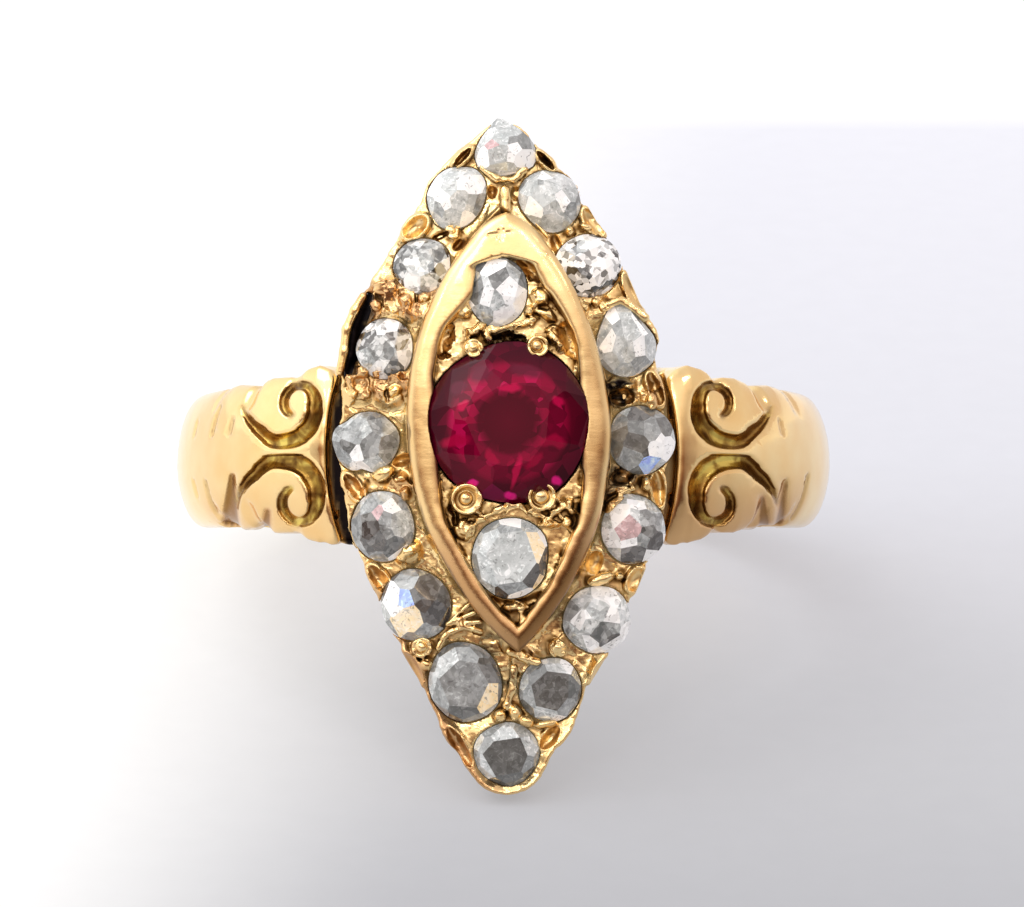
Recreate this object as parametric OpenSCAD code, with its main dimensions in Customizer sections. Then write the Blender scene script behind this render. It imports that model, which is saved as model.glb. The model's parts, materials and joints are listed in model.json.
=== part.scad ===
// Antique navette ring: a pointed oval head of old-cut diamonds round a ruby in a raised bezel,
// on a band whose shoulders are carved with scrolls. The mount is soldered gold, one solid.
// It is made upright, with the finger along Y and the head up, and then laid on its side.

/* [Band] */
// Inside diameter of the band
bore_d = 17.3; // [16.5:0.1:18.5]
// Metal thickness at the sides of the band
side_t = 1.7; // [1.4:0.1:2]
// Metal thickness at the back of the band
back_t = 1.3; // [1:0.1:1.6]
// Height of the shoulder ends above the finger
shoulder_t = 3; // [2.7:0.1:3.2]
// Width of the band where the shoulders end
shoulder_w = 5.7; // [5.2:0.1:6.2]
// Width of the band at its sides
side_w = 4.2; // [3.8:0.1:4.6]
// Width of the band at its back
back_w = 2.6; // [2.2:0.1:3.2]

/* [Carving] */
// Depth of the scrolls cut in the shoulders
scroll_depth = 0.35; // [0.2:0.05:0.45]
// Reach of a scroll from its eye to the tip of its tail
scroll_reach = 1.8; // [1.5:0.1:2]
// Widest stroke of a scroll
scroll_stroke = 0.6; // [0.4:0.05:0.7]
// Distance of the scroll eyes from the middle of the ring, across the finger
scroll_out = 6.1; // [5.9:0.1:6.4]
// Distance of the scroll eyes from the middle of the band
scroll_apart = 1.45; // [1.3:0.05:1.55]
// Radius of the flutes that notch the band's edges
flute_r = 0.4; // [0.3:0.05:0.5]

/* [Head] */
// Length of the pointed oval head
head_len = 20; // [19:0.1:21]
// Width of the head
head_w = 10.2; // [9.8:0.1:10.8]
// Height of the crest of the plate above the finger
plate_rise = 3.25; // [3:0.05:3.6]
// Thickness of the plate
plate_t = 1; // [0.9:0.05:1.1]
// Radius of the crown of the plate across the finger
crown_across_r = 16; // [14:1:24]
// Radius of the crown of the plate along the finger
crown_along_r = 60; // [45:5:100]
// Turn of the head on the band, anticlockwise
head_turn = 0.75; // [0:0.25:2]
// Metal left between a rim stone and the edge of the plate
rim_lip = 0.14; // [0.1:0.02:0.2]
// How far the plate draws in between the rim stones
rim_notch = 0.5; // [0.4:0.05:0.55]

/* [Gallery] */
// Thickness of the wall under the plate
gallery_wall = 0.75; // [0.6:0.05:0.9]
// Distance of that wall inside the edge of the head
gallery_inset = 0.7; // [0.5:0.05:0.8]
// Room between the gallery and the finger
gallery_clear = 0.3; // [0.2:0.05:0.5]
// Height of the gallery's tips above the finger
gallery_tip = 1.5; // [1.2:0.1:1.7]
// Width of the dark gap between the shoulder ends and the head
crescent_gap = 0.4; // [0.3:0.05:0.5]
// Height above the finger's crest where the shoulders are soldered on
solder_rise = 0.35; // [0.2:0.05:0.5]

/* [Bezel] */
// Length of the raised inner frame
bezel_len = 13.1; // [12.6:0.1:13.4]
// Width of the raised inner frame
bezel_w = 6.1; // [6:0.05:6.3]
// Height of the frame above the plate
bezel_rise = 1.15; // [1:0.05:1.3]
// Width of the frame's rim at its sides
bezel_rim = 0.58; // [0.5:0.02:0.6]
// Width of the frame's rim at its two tips
bezel_tip = 1.3; // [1.1:0.1:1.5]
// Depth of the floor below the rim
bezel_floor = 0.35; // [0.25:0.05:0.45]
// Turn of the frame on the head, anticlockwise
bezel_turn = 1.7; // [0:0.1:2]
// Shift of the frame towards the upper tip
bezel_up = 0.73; // [0.5:0.05:0.9]
// Shift of the frame to the right
bezel_right = 0.17; // [0:0.01:0.2]

/* [Stones] */
// Diameter of the ruby
ruby_d = 4.76; // [4.6:0.02:4.8]
// Depth of the ruby below its girdle
ruby_deep = 1.75; // [1.5:0.05:1.85]
// Diameter that the rim diamonds are sized from
rim_stone_d = 2; // [1.8:0.02:2.02]
// Diameter that the two diamonds in the bezel are sized from
inner_stone_d = 2.1; // [1.9:0.05:2.2]
// Gap between a stone and its metal
stone_gap = 0.03; // [0.02:0.01:0.05]
// Thickness of a stone's girdle
girdle_t = 0.12; // [0.08:0.02:0.16]
// Radius of the gold grains that hold the stones
grain_r = 0.28; // [0.22:0.02:0.32]
// Length of the star's rays on the upper end of the bezel
star_reach = 0.36; // [0.25:0.01:0.4]
// Depth of that engraved star
star_depth = 0.06; // [0.04:0.01:0.1]

/* [Hidden] */
bore_r = bore_d / 2;
half_len = head_len / 2;
half_w = head_w / 2;
crest_z = bore_r + plate_rise;
smooth = 96;

// Sections of the band by their angle from the head. The shares say how far the width and the
// thickness have gone from the shoulder's size to the side's, how far both have gone from the
// side's to the back's, and how much of the thickness is left at the band's edges.
//  angle, width, thick, back, edge
BAND = [
    [20, 0.00, 0.00, 0.00, 0.84],
    [26, 0.00, 0.00, 0.00, 0.84],
    [30, 0.25, 0.05, 0.00, 0.84],
    [34, 0.45, 0.12, 0.00, 0.83],
    [38, 0.72, 0.22, 0.00, 0.80],
    [44, 0.80, 0.37, 0.00, 0.74],
    [52, 0.90, 0.54, 0.00, 0.64],
    [60, 1.00, 0.70, 0.00, 0.56],
    [76, 1.00, 0.90, 0.00, 0.48],
    [92, 1.00, 1.00, 0.00, 0.45],
    [140, 1.00, 1.00, 0.65, 0.42],
    [180, 1.00, 1.00, 1.00, 0.40],
];

// Cuts of the stones: facets round the table, then as shares of the stone's radius the
// table, the ring of facet corners and the base, and as shares of its width the heights of
// the table, of those corners and the depth of the base.
//  sides, table, corners, base, table_h, corner_h, base_h
ROSE = [6, 0.24, 0.64, 0.74, 0.27, 0.19, 0.18];
OLD = [8, 0.48, 0.78, 0.50, 0.21, 0.12, 0.26];
STEP = [6, 0.60, 0.84, 0.74, 0.15, 0.09, 0.18];
ROUND = [8, 0.48, 0.78, 0.16, 0.15, 0.085, ruby_deep / ruby_d];

// Rim diamonds: place as shares of the head's half width and half length, width and height
// as shares of the rim stone size, how far the outline draws to a point, turn and cut.
//  name, across, along, width, height, point, turn, cut
RIM = [
    ["diamond_top", 0.030, 0.905, 0.88, 0.80, 0.20, 12, ROSE],
    ["diamond_right_1", 0.290, 0.752, 0.97, 0.87, 0.10, -50, ROSE],
    ["diamond_right_2", 0.510, 0.554, 0.99, 0.94, 0.00, 10, OLD],
    ["diamond_right_3", 0.720, 0.326, 0.90, 1.05, 0.16, 14, ROSE],
    ["diamond_right_4", 0.808, 0.033, 1.00, 1.04, 0.06, 35, ROSE],
    ["diamond_right_5", 0.752, -0.231, 0.98, 1.04, 0.05, 10, ROSE],
    ["diamond_right_6", 0.535, -0.500, 1.02, 1.00, 0.00, 20, ROSE],
    ["diamond_right_7", 0.256, -0.705, 0.92, 0.96, 0.05, -20, STEP],
    ["diamond_bottom", -0.004, -0.897, 0.98, 0.92, -0.06, 0, STEP],
    ["diamond_left_7", -0.242, -0.681, 1.08, 1.20, 0.00, 15, STEP],
    ["diamond_left_6", -0.524, -0.450, 1.04, 1.07, 0.00, 30, ROSE],
    ["diamond_left_5", -0.712, -0.213, 0.96, 1.05, 0.06, 5, ROSE],
    ["diamond_left_4", -0.806, 0.033, 1.02, 0.90, -0.14, -8, ROSE],
    ["diamond_left_3", -0.686, 0.314, 0.86, 0.91, 0.00, 0, OLD],
    ["diamond_left_2", -0.462, 0.560, 0.86, 0.82, 0.00, 22, OLD],
    ["diamond_left_1", -0.262, 0.764, 0.97, 0.86, 0.12, 60, ROSE],
];

// Diamonds in the bezel: place as shares of the bezel's half width and half length, width and
// height as shares of their named size, point, turn and cut.
//  name, across, along, width, height, point, turn, cut
INNER = [
    ["diamond_above", -0.060, 0.612, 0.86, 0.98, 0.00, 0, ROSE],
    ["diamond_below", -0.040, -0.588, 1.08, 1.12, 0.04, 8, STEP],
];

// Grains in the bezel: the stone that each one holds, and its angle round that stone.
RUBY_GRAINS = [-24, 21, 154, 206];
INNER_GRAINS = [[0, -100], [0, 104], [0, 0], [1, -62], [1, 118], [1, 180]];

// Flutes: angle from the head, and where they start as a turn round the band's section.
FLUTES = [[46, 48], [55, 34], [64, 44]];

// Rays of the engraved star: angle from the length of the bezel, and share of the longest ray.
STAR = [[0, 0.75], [40, 0.45], [95, 1.00], [140, 0.55]];

// Shares and small drops that no other piece depends on.
core_r = 0.94;      // inner radius of the swept band, before its bore is cut
core_w = 0.96;      // width of its inner face
flute_lift = 0.4;   // height of a flute's axis over the skin, in flute radii
tip_wall = 1.7;     // gallery wall at the two tips, in wall thicknesses
grain_spread = 0.7; // place of a rim grain, in mean radii of the stones beside it
hole_r = 0.27;      // radius of the hole under a diamond, in its widths
ruby_hole = 0.45;   // radius of the hole under the ruby, in radii of its seat
ruby_mouth = 0.7;   // radius to which the metal's cut over the ruby narrows
rim_sunk = 0.12;    // depth of the rim stones' girdles below the crown
ruby_up = 0.1;      // shift of the ruby towards the upper tip, in the bezel
star_in = 0.65;     // place of the star, in lengths of the bezel's solid tip
scroll_steps = 18;

// Places and sizes worked out from the values above.
rim_count = len(RIM);
function rim_at(i) = let (s = RIM[(i + rim_count) % rim_count]) [s[1] * half_w, s[2] * half_len];
function rim_size(i) = let (s = RIM[(i + rim_count) % rim_count]) [s[3], s[4]] * rim_stone_d;
function inner_at(i) = [INNER[i][1] * bezel_w, INNER[i][2] * bezel_len] / 2;
function inner_size(i) = [INNER[i][3], INNER[i][4]] * inner_stone_d;

function mix(a, b, share) = a + (b - a) * share;
function turned(p, angle) = [p.x * cos(angle) - p.y * sin(angle), p.x * sin(angle) + p.y * cos(angle)];
function column(table, c) = [for (row = table) [row[0], row[c]]];

// Height of the plate's crown, or of a surface that lies deeper by drop, over a point.
function crown_z(x, y, drop = 0) =
    let (tube = crown_across_r - drop, ring = crown_along_r - crown_across_r)
    crest_z - crown_along_r + sqrt(pow(ring + sqrt(tube * tube - x * x), 2) - y * y);

// The band's outer surface, a section of points round the metal at each angle.
band_angles = [for (a = [20:4:60]) a, for (a = [68:8:292]) a, for (a = [300:4:340]) a];
section_turns = [90, 76, 60, 40, 20, 0, -20, -40, -60, -76, -90];
function band_row(a, c) = lookup(a > 180 ? 360 - a : abs(a), column(BAND, c));
function band_half(a) =
    mix(mix(shoulder_w, side_w, band_row(a, 1)), back_w, band_row(a, 3)) / 2;
function band_thick(a) =
    mix(mix(shoulder_t, side_t, band_row(a, 2)), back_t, band_row(a, 3));
function band_point(a, r, y) = [r * sin(a), y, r * cos(a)];
function to_micron(p) = [for (c = p) round(c * 1000) / 1000];
function band_skin(a, turn, inset) =
    let (thick = band_thick(a), edge = thick * band_row(a, 4))
    [bore_r + edge + (thick - edge) * cos(turn) - inset, (band_half(a) - inset) * sin(turn)];
function band_section(a, inset) =
    let (half = band_half(a))
    [
        [bore_r * core_r, half * core_w - inset],
        for (t = section_turns) band_skin(a, t, inset),
        [bore_r * core_r, inset - half * core_w],
    ];

// How the ring lies: on the lower tip of its head and on the edge of its band.
tip_row = 8;
tip_r = max(rim_size(tip_row)) / 2 + rim_lip;
tip_at = turned([rim_at(tip_row).x, rim_at(tip_row).y - tip_r], head_turn);
tip_z = crown_z(rim_at(tip_row).x, rim_at(tip_row).y - tip_r, plate_t);
band_low = [
    for (a = band_angles) for (p = band_section(a, 0)) let (q = band_point(a, p[0], p[1]))
        if (p[0] >= bore_r && q.z < 0) q
];
lean = atan(min([for (q = band_low) (q.y - tip_at.y) / (tip_z - q.z)]));
floor_y = tip_at.y * cos(lean) + tip_z * sin(lean);
function laid_y(y, z) = y * sin(lean) - z * cos(lean);
tip_top = crown_z(0, rim_at(tip_row).y - tip_r / 2, 0);
front_y = laid_y(rim_at(tip_row).y - tip_r / 2, tip_top + STEP[4] * rim_stone_d - girdle_t);
back_y = max([for (q = band_low) laid_y(q.y, q.z)]);

// Puts what is made upright on its side, with the floor at zero and the middle at the origin.
module laid() {
    translate([0, -(front_y + back_y) / 2, -floor_y])
        rotate([90 - lean, 0, 0])
            children();
}

// Tilts a child to the crown of the plate, at a point of the head.
module on_crown(p, drop = 0) {
    z0 = crest_z - crown_along_r;
    z = crown_z(p.x, p.y, drop);
    translate([p.x, p.y, z])
        rotate([-atan2(p.y, z - z0), 0, 0])
            rotate([0, asin(p.x / (crown_across_r - drop)), 0])
                children();
}

// A solid whose upper skin is the crown surface, lowered by drop.
module crown_body(drop) {
    translate([0, 0, crest_z - crown_along_r])
        rotate([90, 0, 90])
            rotate_extrude($fn = 360)
                intersection() {
                    translate([crown_along_r - crown_across_r, 0])
                        circle(r = crown_across_r - drop, $fn = 180);
                    translate([0, -half_w * 2])
                        square([crown_along_r * 2, half_w * 4]);
                }
}

// A pointed oval between two arcs.
module lens(half_l, half_b) {
    arc_r = (half_l * half_l + half_b * half_b) / (2 * half_b);
    intersection() {
        translate([arc_r - half_b, 0]) circle(r = arc_r, $fn = 180);
        translate([half_b - arc_r, 0]) circle(r = arc_r, $fn = 180);
    }
}

// Outline of a cut stone, drawn to a point at its upper end, with as many corners as asked.
function outline(size, point, corners) = [
    for (k = [0:corners - 1]) let (t = 360 * k / corners)
        [size.x / 2 * sin(t) * (1 - point * cos(t)), size.y / 2 * cos(t)]
];
function every_other(points, first) = [for (k = [first:2:len(points) - 1]) points[k]];
function at_height(points, share, z) = [for (p = points) [p.x * share, p.y * share, z]];

// A cut stone on its girdle: table, star, kite and girdle facets over a narrower base.
function base_deep(size, cut) = cut[6] * min(size);
module cut_stone(size, point, cut) {
    n = cut[0];
    width = min(size);
    girdle = outline(size, point, 2 * n);
    points = concat(
        at_height(every_other(girdle, 0), cut[1], cut[4] * width),
        at_height(every_other(girdle, 1), cut[2], cut[5] * width),
        at_height(girdle, 1, 0),
        at_height(girdle, 1, -girdle_t),
        at_height(every_other(girdle, 0), cut[3], -girdle_t - base_deep(size, cut))
    );
    function next(i) = (i + 1) % n;
    function table(i) = i % n;
    function corner(i) = n + (i + n) % n;
    function upper(k) = 2 * n + k % (2 * n);
    function lower(k) = 4 * n + k % (2 * n);
    function base(i) = 6 * n + i % n;
    faces = [
        [for (i = [0:n - 1]) table(i)],
        for (i = [0:n - 1]) each [
            [table(i), corner(i), table(next(i))],
            [table(i), upper(2 * i), corner(i)],
            [table(i), corner(i - 1), upper(2 * i)],
            [corner(i), upper(2 * i), upper(2 * i + 1)],
            [corner(i), upper(2 * i + 1), upper(2 * i + 2)],
            [lower(2 * i), base(i), lower(2 * i + 1)],
            [lower(2 * i + 1), base(i), base(next(i))],
            [lower(2 * i + 1), base(next(i)), lower(2 * i + 2)],
        ],
        for (k = [0:2 * n - 1]) [upper(k), lower(k), lower(k + 1), upper(k + 1)],
        [for (i = [0:n - 1]) base(n - 1 - i)],
    ];
    polyhedron(points, faces);
}

// Room for a stone: its outline down to its seat, and a cone over it that cuts the grains.
// The outline grows by more than the gap at its corners, and so by the gap at its flat sides.
seat_grow = stone_gap * 1.6;
module stone_room(size, point, cut, through) {
    deep = girdle_t + base_deep(size, cut) + stone_gap;
    far = max(size) / 2 + seat_grow;
    translate([0, 0, -deep])
        linear_extrude(deep + stone_gap)
            polygon(outline(size * (1 + 2 * seat_grow / min(size)), point, 2 * cut[0]));
    translate([0, 0, stone_gap])
        cylinder(r1 = far, r2 = far / 2, h = far / 2, $fn = smooth);
    translate([0, 0, -through])
        cylinder(r = min(size) * hole_r, h = through, $fn = smooth);
}

// Places of the stones, each on its girdle.
module at_rim(i) {
    laid_out = RIM[i];
    rotate([0, 0, head_turn])
        on_crown(rim_at(i), rim_sunk)
            rotate([0, 0, laid_out[6]])
                children();
}

// The bezel's own frame on the head.
module on_bezel() {
    rotate([0, 0, head_turn])
        translate([bezel_right, bezel_up, 0])
            rotate([0, 0, bezel_turn])
                children();
}
floor_drop = bezel_rise - bezel_floor;
module at_inner(i) {
    p = inner_at(i);
    on_bezel()
        translate([p.x, p.y, crown_z(p.x, p.y + bezel_up) + floor_drop])
            rotate([0, 0, INNER[i][6]])
                children();
}
module at_ruby() {
    on_bezel()
        translate([0, ruby_up, crown_z(0, bezel_up) + floor_drop + girdle_t])
            children();
}

// Carved scroll, seen from above: a spiral stroke that thins to a tail away from the head.
function scroll_arm(u) = scroll_reach * (0.26 + 0.74 * pow(1 - u, 4));
function scroll_angle(u) = 185 + 400 * u;
function scroll_half(u) = scroll_stroke / 2 * (u < 0.15 ? 0.15 + 5.7 * u : 1.15 - 0.95 * u);
function scroll_point(u, side) =
    (scroll_arm(u) + side * scroll_half(u)) * [cos(scroll_angle(u)), sin(scroll_angle(u))];
module scroll() {
    polygon([
        for (k = [0:scroll_steps]) scroll_point(k / scroll_steps, 1),
        for (k = [scroll_steps:-1:0]) scroll_point(k / scroll_steps, -1),
    ]);
}

// A swept solid through sections of the band, each a ring of points, lowered by inset.
module band_sweep(angles, inset) {
    rings = [
        for (a = angles) [for (p = band_section(a, inset)) to_micron(band_point(a, p[0], p[1]))]
    ];
    m = len(rings[0]);
    last = len(rings) - 1;
    polyhedron(
        [for (ring = rings) each ring],
        [
            [for (j = [0:m - 1]) j],
            for (i = [0:last - 1]) for (j = [0:m - 1]) let (k = (j + 1) % m) each [
                [i * m + j, (i + 1) * m + j, (i + 1) * m + k],
                [i * m + j, (i + 1) * m + k, i * m + k],
            ],
            [for (j = [m - 1:-1:0]) last * m + j],
        ]
    );
}

// A groove along the skin of the band, between two points of one section.
module flute(from, to, a) {
    reach = to - from;
    rotate([0, a, 0])
        translate([0, from.y, from.x + flute_r * flute_lift])
            rotate([-atan2(reach.y, reach.x), 0, 0])
                cylinder(r = flute_r, h = norm(reach) * 2, $fn = smooth);
}

module band() {
    carved_angles = [for (a = [-60:4:-20]) a];
    difference() {
        band_sweep(band_angles, 0);
        rotate([90, 0, 0])
            cylinder(r = bore_r, h = shoulder_w * 2, center = true, $fn = smooth);
        // The dark crescent between the shoulder ends and the head
        translate([0, 0, bore_r + solder_rise])
            rotate([0, 0, head_turn])
                linear_extrude(shoulder_t * 2)
                    lens(half_len + crescent_gap * 2, half_w + crescent_gap);
        // Scrolls, cut down to a skin that follows the shoulders
        for (side = [0, 1]) mirror([side, 0, 0])
            difference() {
                for (edge = [0, 1]) mirror([0, edge, 0])
                    translate([-scroll_out, scroll_apart, 0])
                        linear_extrude(crest_z) scroll();
                band_sweep(carved_angles, scroll_depth);
            }
        // Flutes that notch the edges beyond the scrolls
        for (side = [0, 1]) mirror([side, 0, 0])
            for (edge = [0, 1]) mirror([0, edge, 0])
                for (f = FLUTES) flute(band_skin(f[0], f[1], 0), band_skin(f[0], 90, 0), f[0]);
    }
}

module plate() {
    intersection() {
        difference() {
            crown_body(0);
            crown_body(plate_t);
        }
        rotate([0, 0, head_turn])
            linear_extrude(crest_z * 2)
                union() {
                    lens(half_len - rim_notch / 4, half_w - rim_notch);
                    for (i = [0:rim_count - 1])
                        translate(rim_at(i))
                            circle(r = max(rim_size(i)) / 2 + rim_lip, $fn = smooth);
                }
    }
}

// A wall under the plate, cut like a boat below and hollow inside.
module gallery() {
    low = bore_r + gallery_clear;
    boat_low = bore_r - gallery_clear * 3;
    boat_rise = bore_r + gallery_tip - boat_low;
    boat_r = (half_len * half_len + boat_rise * boat_rise) / (2 * boat_rise);
    outer_l = half_len - gallery_inset;
    outer_w = half_w - gallery_inset;
    difference() {
        rotate([0, 0, head_turn])
            linear_extrude(crown_z(outer_w, 0, plate_t / 2))
                difference() {
                    lens(outer_l, outer_w);
                    lens(outer_l - gallery_wall * tip_wall, outer_w - gallery_wall);
                }
        rotate([90, 0, 0])
            cylinder(r = low, h = head_len * 2, center = true, $fn = smooth);
        translate([0, 0, boat_low - boat_r * 2])
            cube([head_w * 2, head_len * 2, boat_r * 4], center = true);
        difference() {
            translate([0, 0, boat_low])
                cube([head_w * 2, head_len * 2, boat_rise * 3], center = true);
            translate([0, 0, boat_low + boat_r])
                rotate([0, 90, 0])
                    cylinder(r = boat_r, h = head_w * 3, center = true, $fn = smooth);
        }
    }
}

// The raised frame with its sunk floor, and a small star engraved on its upper end.
module bezel() {
    recess_l = bezel_len / 2 - bezel_tip;
    recess_w = bezel_w / 2 - bezel_rim;
    star_y = bezel_len / 2 - bezel_tip * star_in;
    difference() {
        intersection() {
            translate([0, 0, bezel_rise]) crown_body(0);
            on_bezel() linear_extrude(crest_z * 2) lens(bezel_len / 2, bezel_w / 2);
        }
        crown_body(plate_t / 2);
        difference() {
            on_bezel() linear_extrude(crest_z * 2) lens(recess_l, recess_w);
            translate([0, 0, floor_drop]) crown_body(0);
        }
        on_bezel()
            translate([0, star_y, crown_z(0, star_y + bezel_up) + bezel_rise])
                for (ray = STAR)
                    rotate([0, 0, ray[0]])
                        cube([star_depth * 1.5, star_reach * 2 * ray[1], star_depth * 2], center = true);
    }
}

module grain() {
    sphere(r = grain_r, $fn = 24);
}

// A pair of grains between each two neighbours in the rim, and those that the bezel holds.
module grains() {
    for (i = [0:rim_count - 1]) {
        a = rim_at(i);
        b = rim_at(i + 1);
        middle = (a + b) / 2;
        away = [a.y - b.y, b.x - a.x] / norm(b - a);
        reach = (max(rim_size(i)) + max(rim_size(i + 1))) / 4 * grain_spread;
        for (side = [-1, 1])
            rotate([0, 0, head_turn]) on_crown(middle + away * side * reach) grain();
    }
    for (angle = RUBY_GRAINS)
        at_ruby() rotate([0, 0, -angle]) translate([0, ruby_d / 2 + grain_r / 3, 0]) grain();
    for (g = INNER_GRAINS) let (size = inner_size(g[0]))
        at_inner(g[0])
            rotate([0, 0, -g[1]]) translate([0, max(size) / 2 + grain_r / 3, 0]) grain();
}

// Seats of all the stones, cut through to the hollow under the head.
module seats() {
    for (i = [0:rim_count - 1])
        at_rim(i) stone_room(rim_size(i), RIM[i][5], RIM[i][7], plate_t);
    for (i = [0:len(INNER) - 1])
        at_inner(i) stone_room(inner_size(i), INNER[i][5], INNER[i][7], plate_t + bezel_rise);
    far = ruby_d / 2 + seat_grow;
    at_ruby() {
        translate([0, 0, -girdle_t - stone_gap])
            cylinder(r = far, h = girdle_t + stone_gap * 2, $fn = smooth);
        translate([0, 0, -girdle_t - stone_gap - ruby_deep])
            cylinder(r1 = far * ROUND[3] + stone_gap, r2 = far, h = ruby_deep, $fn = smooth);
        translate([0, 0, -ruby_deep * 2])
            cylinder(r = far * ruby_hole, h = ruby_deep * 2, $fn = smooth);
        translate([0, 0, stone_gap])
            cylinder(r1 = far, r2 = far * ruby_mouth, h = far * (1 - ruby_mouth), $fn = smooth);
    }
}

module gold_mount() {
    color("goldenrod") laid() {
        band();
        difference() {
            union() {
                plate();
                gallery();
                bezel();
                grains();
            }
            seats();
        }
    }
}

module ruby() {
    color("crimson") laid()
        at_ruby() cut_stone([ruby_d, ruby_d], 0, ROUND);
}

module rim_diamond(i) {
    color("gainsboro") laid() at_rim(i) cut_stone(rim_size(i), RIM[i][5], RIM[i][7]);
}

module inner_diamond(i) {
    color("gainsboro") laid() at_inner(i) cut_stone(inner_size(i), INNER[i][5], INNER[i][7]);
}

gold_mount();
ruby();
for (i = [0:len(INNER) - 1]) inner_diamond(i);
for (i = [0:rim_count - 1]) rim_diamond(i);
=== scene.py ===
"""Looks of an antique navette ring that lies on its side: worn gold, old-cut diamonds and a ruby.

The gold is sculpted in millimetres as distance fields, in the ring's upright frame: the origin is
the middle of the finger bore, X runs across the finger, Y along it and Z up to the head.
"""
import json
import math

import bpy
import numpy as np
import openvdb
from mathutils import Matrix, Vector


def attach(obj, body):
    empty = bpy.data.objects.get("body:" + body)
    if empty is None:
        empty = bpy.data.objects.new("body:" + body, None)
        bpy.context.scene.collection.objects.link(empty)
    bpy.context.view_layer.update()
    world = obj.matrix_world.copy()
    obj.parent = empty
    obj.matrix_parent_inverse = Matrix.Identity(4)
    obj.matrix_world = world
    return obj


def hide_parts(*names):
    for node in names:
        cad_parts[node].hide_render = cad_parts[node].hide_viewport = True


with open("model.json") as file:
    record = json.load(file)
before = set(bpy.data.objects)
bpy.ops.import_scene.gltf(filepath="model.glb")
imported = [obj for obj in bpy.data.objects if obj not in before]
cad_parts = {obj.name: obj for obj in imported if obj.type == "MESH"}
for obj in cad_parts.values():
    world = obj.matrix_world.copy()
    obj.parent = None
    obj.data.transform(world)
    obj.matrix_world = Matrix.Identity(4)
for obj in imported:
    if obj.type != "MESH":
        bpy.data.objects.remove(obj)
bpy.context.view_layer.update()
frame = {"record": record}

MM = 0.001
FAR = 5.0

# Where the ring lies, from its bore
bore = frame["record"]["mounts"][0]
BORE_AT = Vector(bore["pos_m"])
BORE_R = bore["dims"]["r_mm"]
LEAN = math.asin(bore["axis"][1])

# Sizes of the ring, in mm, as the solids have them
SIDE_T, BACK_T, SHOULDER_T = 1.7, 1.3, 3.0
SHOULDER_W, SIDE_W, BACK_W = 5.7, 4.2, 2.6
SCROLL_DEPTH, SCROLL_OUT = 0.35, 6.2
# Middles of the upper and lower scrolls from the band's middle, and their sizes
SCROLLS = [(1.58, 0.97), (1.48, 1.08)]
HEAD_LEN, HEAD_W, HEAD_TURN = 20.0, 10.2, math.radians(0.75)
CREST_Z = BORE_R + 3.25
PLATE_T = 1.0
CROWN_ACROSS_R, CROWN_ALONG_R = 16.0, 60.0
GALLERY_WALL, GALLERY_INSET, GALLERY_CLEAR, GALLERY_TIP = 0.75, 0.7, 0.3, 1.5
CRESCENT_GAP, SOLDER_RISE = 0.14, 0.35
BEZEL_LEN, BEZEL_W, BEZEL_RISE, BEZEL_RIM, BEZEL_TIP = 13.1, 6.1, 1.15, 0.58, 1.3
BEZEL_FLOOR, BEZEL_TURN, BEZEL_UP, BEZEL_RIGHT = 0.35, math.radians(1.7), 0.73, 0.17
RUBY_D, RUBY_DEEP, RUBY_UP = 4.76, 1.75, 0.1
RIM_STONE_D, INNER_STONE_D = 2.0, 2.1
RIM_SUNK, GIRDLE_T, STONE_GAP = 0.12, 0.12, 0.03
SEAT_EASE = 0.014
FLOOR_W = BEZEL_RISE - BEZEL_FLOOR
PLATE_L, PLATE_W = 9.95, 4.85
STAR_REACH = 0.36
GALLERY_TIP_WALL = 1.7
BAND_FROM = math.radians(20)

# Sections of the band by their angle from the head, as shares: how far width and thickness have
# gone from shoulder to side, how far from side to back, and the thickness left at the edges.
#  angle, width, thick, back, edge
BAND = np.array([
    [20, 1.00, 0.00, 0.00, 0.80],
    [26, 0.80, 0.00, 0.00, 0.80],
    [28, 0.42, 0.02, 0.00, 0.80],
    [30, 0.24, 0.05, 0.00, 0.80],
    [33, 0.38, 0.12, 0.00, 0.78],
    [36, 0.66, 0.20, 0.00, 0.76],
    [41, 0.66, 0.30, 0.00, 0.74],
    [47, 0.92, 0.43, 0.00, 0.66],
    [53, 0.82, 0.56, 0.00, 0.61],
    [60, 0.95, 0.70, 0.00, 0.56],
    [68, 0.98, 0.81, 0.00, 0.51],
    [78, 1.00, 0.92, 0.00, 0.48],
    [92, 1.00, 1.00, 0.00, 0.45],
    [140, 1.00, 1.00, 0.65, 0.42],
    [180, 1.00, 1.00, 1.00, 0.40],
])

# Notches across the band: angle from the head, where they start and end from its middle, radius,
# depth, and share of the depth at the upper left, lower left, upper right and lower right
NOTCHES = [
    (36.5, 2.2, 4.0, 0.50, 0.08, (1, 1, 1, 1)), (47, 1.7, 4.0, 0.50, 0.16, (1, 1, 1, 1)),
    (59, 1.6, 4.0, 0.45, 0.05, (1, 1, 1, 1)), (50.5, 0.75, 1.05, 0.11, 0.07, (1, 0, 0.8, 0)),
    (57, 0.75, 1.5, 0.12, 0.09, (1, 0, 0, 0)), (60, 0.8, 1.6, 0.12, 0.09, (0, 1, 0, 0)),
    (66, 0.75, 1.1, 0.11, 0.08, (0.6, 1, 0, 0)), (61, 0.6, 1.8, 0.13, 0.09, (0, 0, 0, 1)),
    (52, 0.8, 1.3, 0.12, 0.09, (0, 0, 0, 1)),
]
# Valleys beside the lower scrolls: two ends, the radius at each and the depth
VALLEYS = [
    (-8.28, -0.60, -8.40, -2.3, 0.02, 0.30, 0.17), (-7.15, -1.70, -7.30, -2.7, 0.06, 0.20, 0.13),
    (8.62, -0.85, 8.50, -2.2, 0.02, 0.14, 0.11), (7.90, -1.30, 8.02, -2.3, 0.06, 0.18, 0.12),
]

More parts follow.
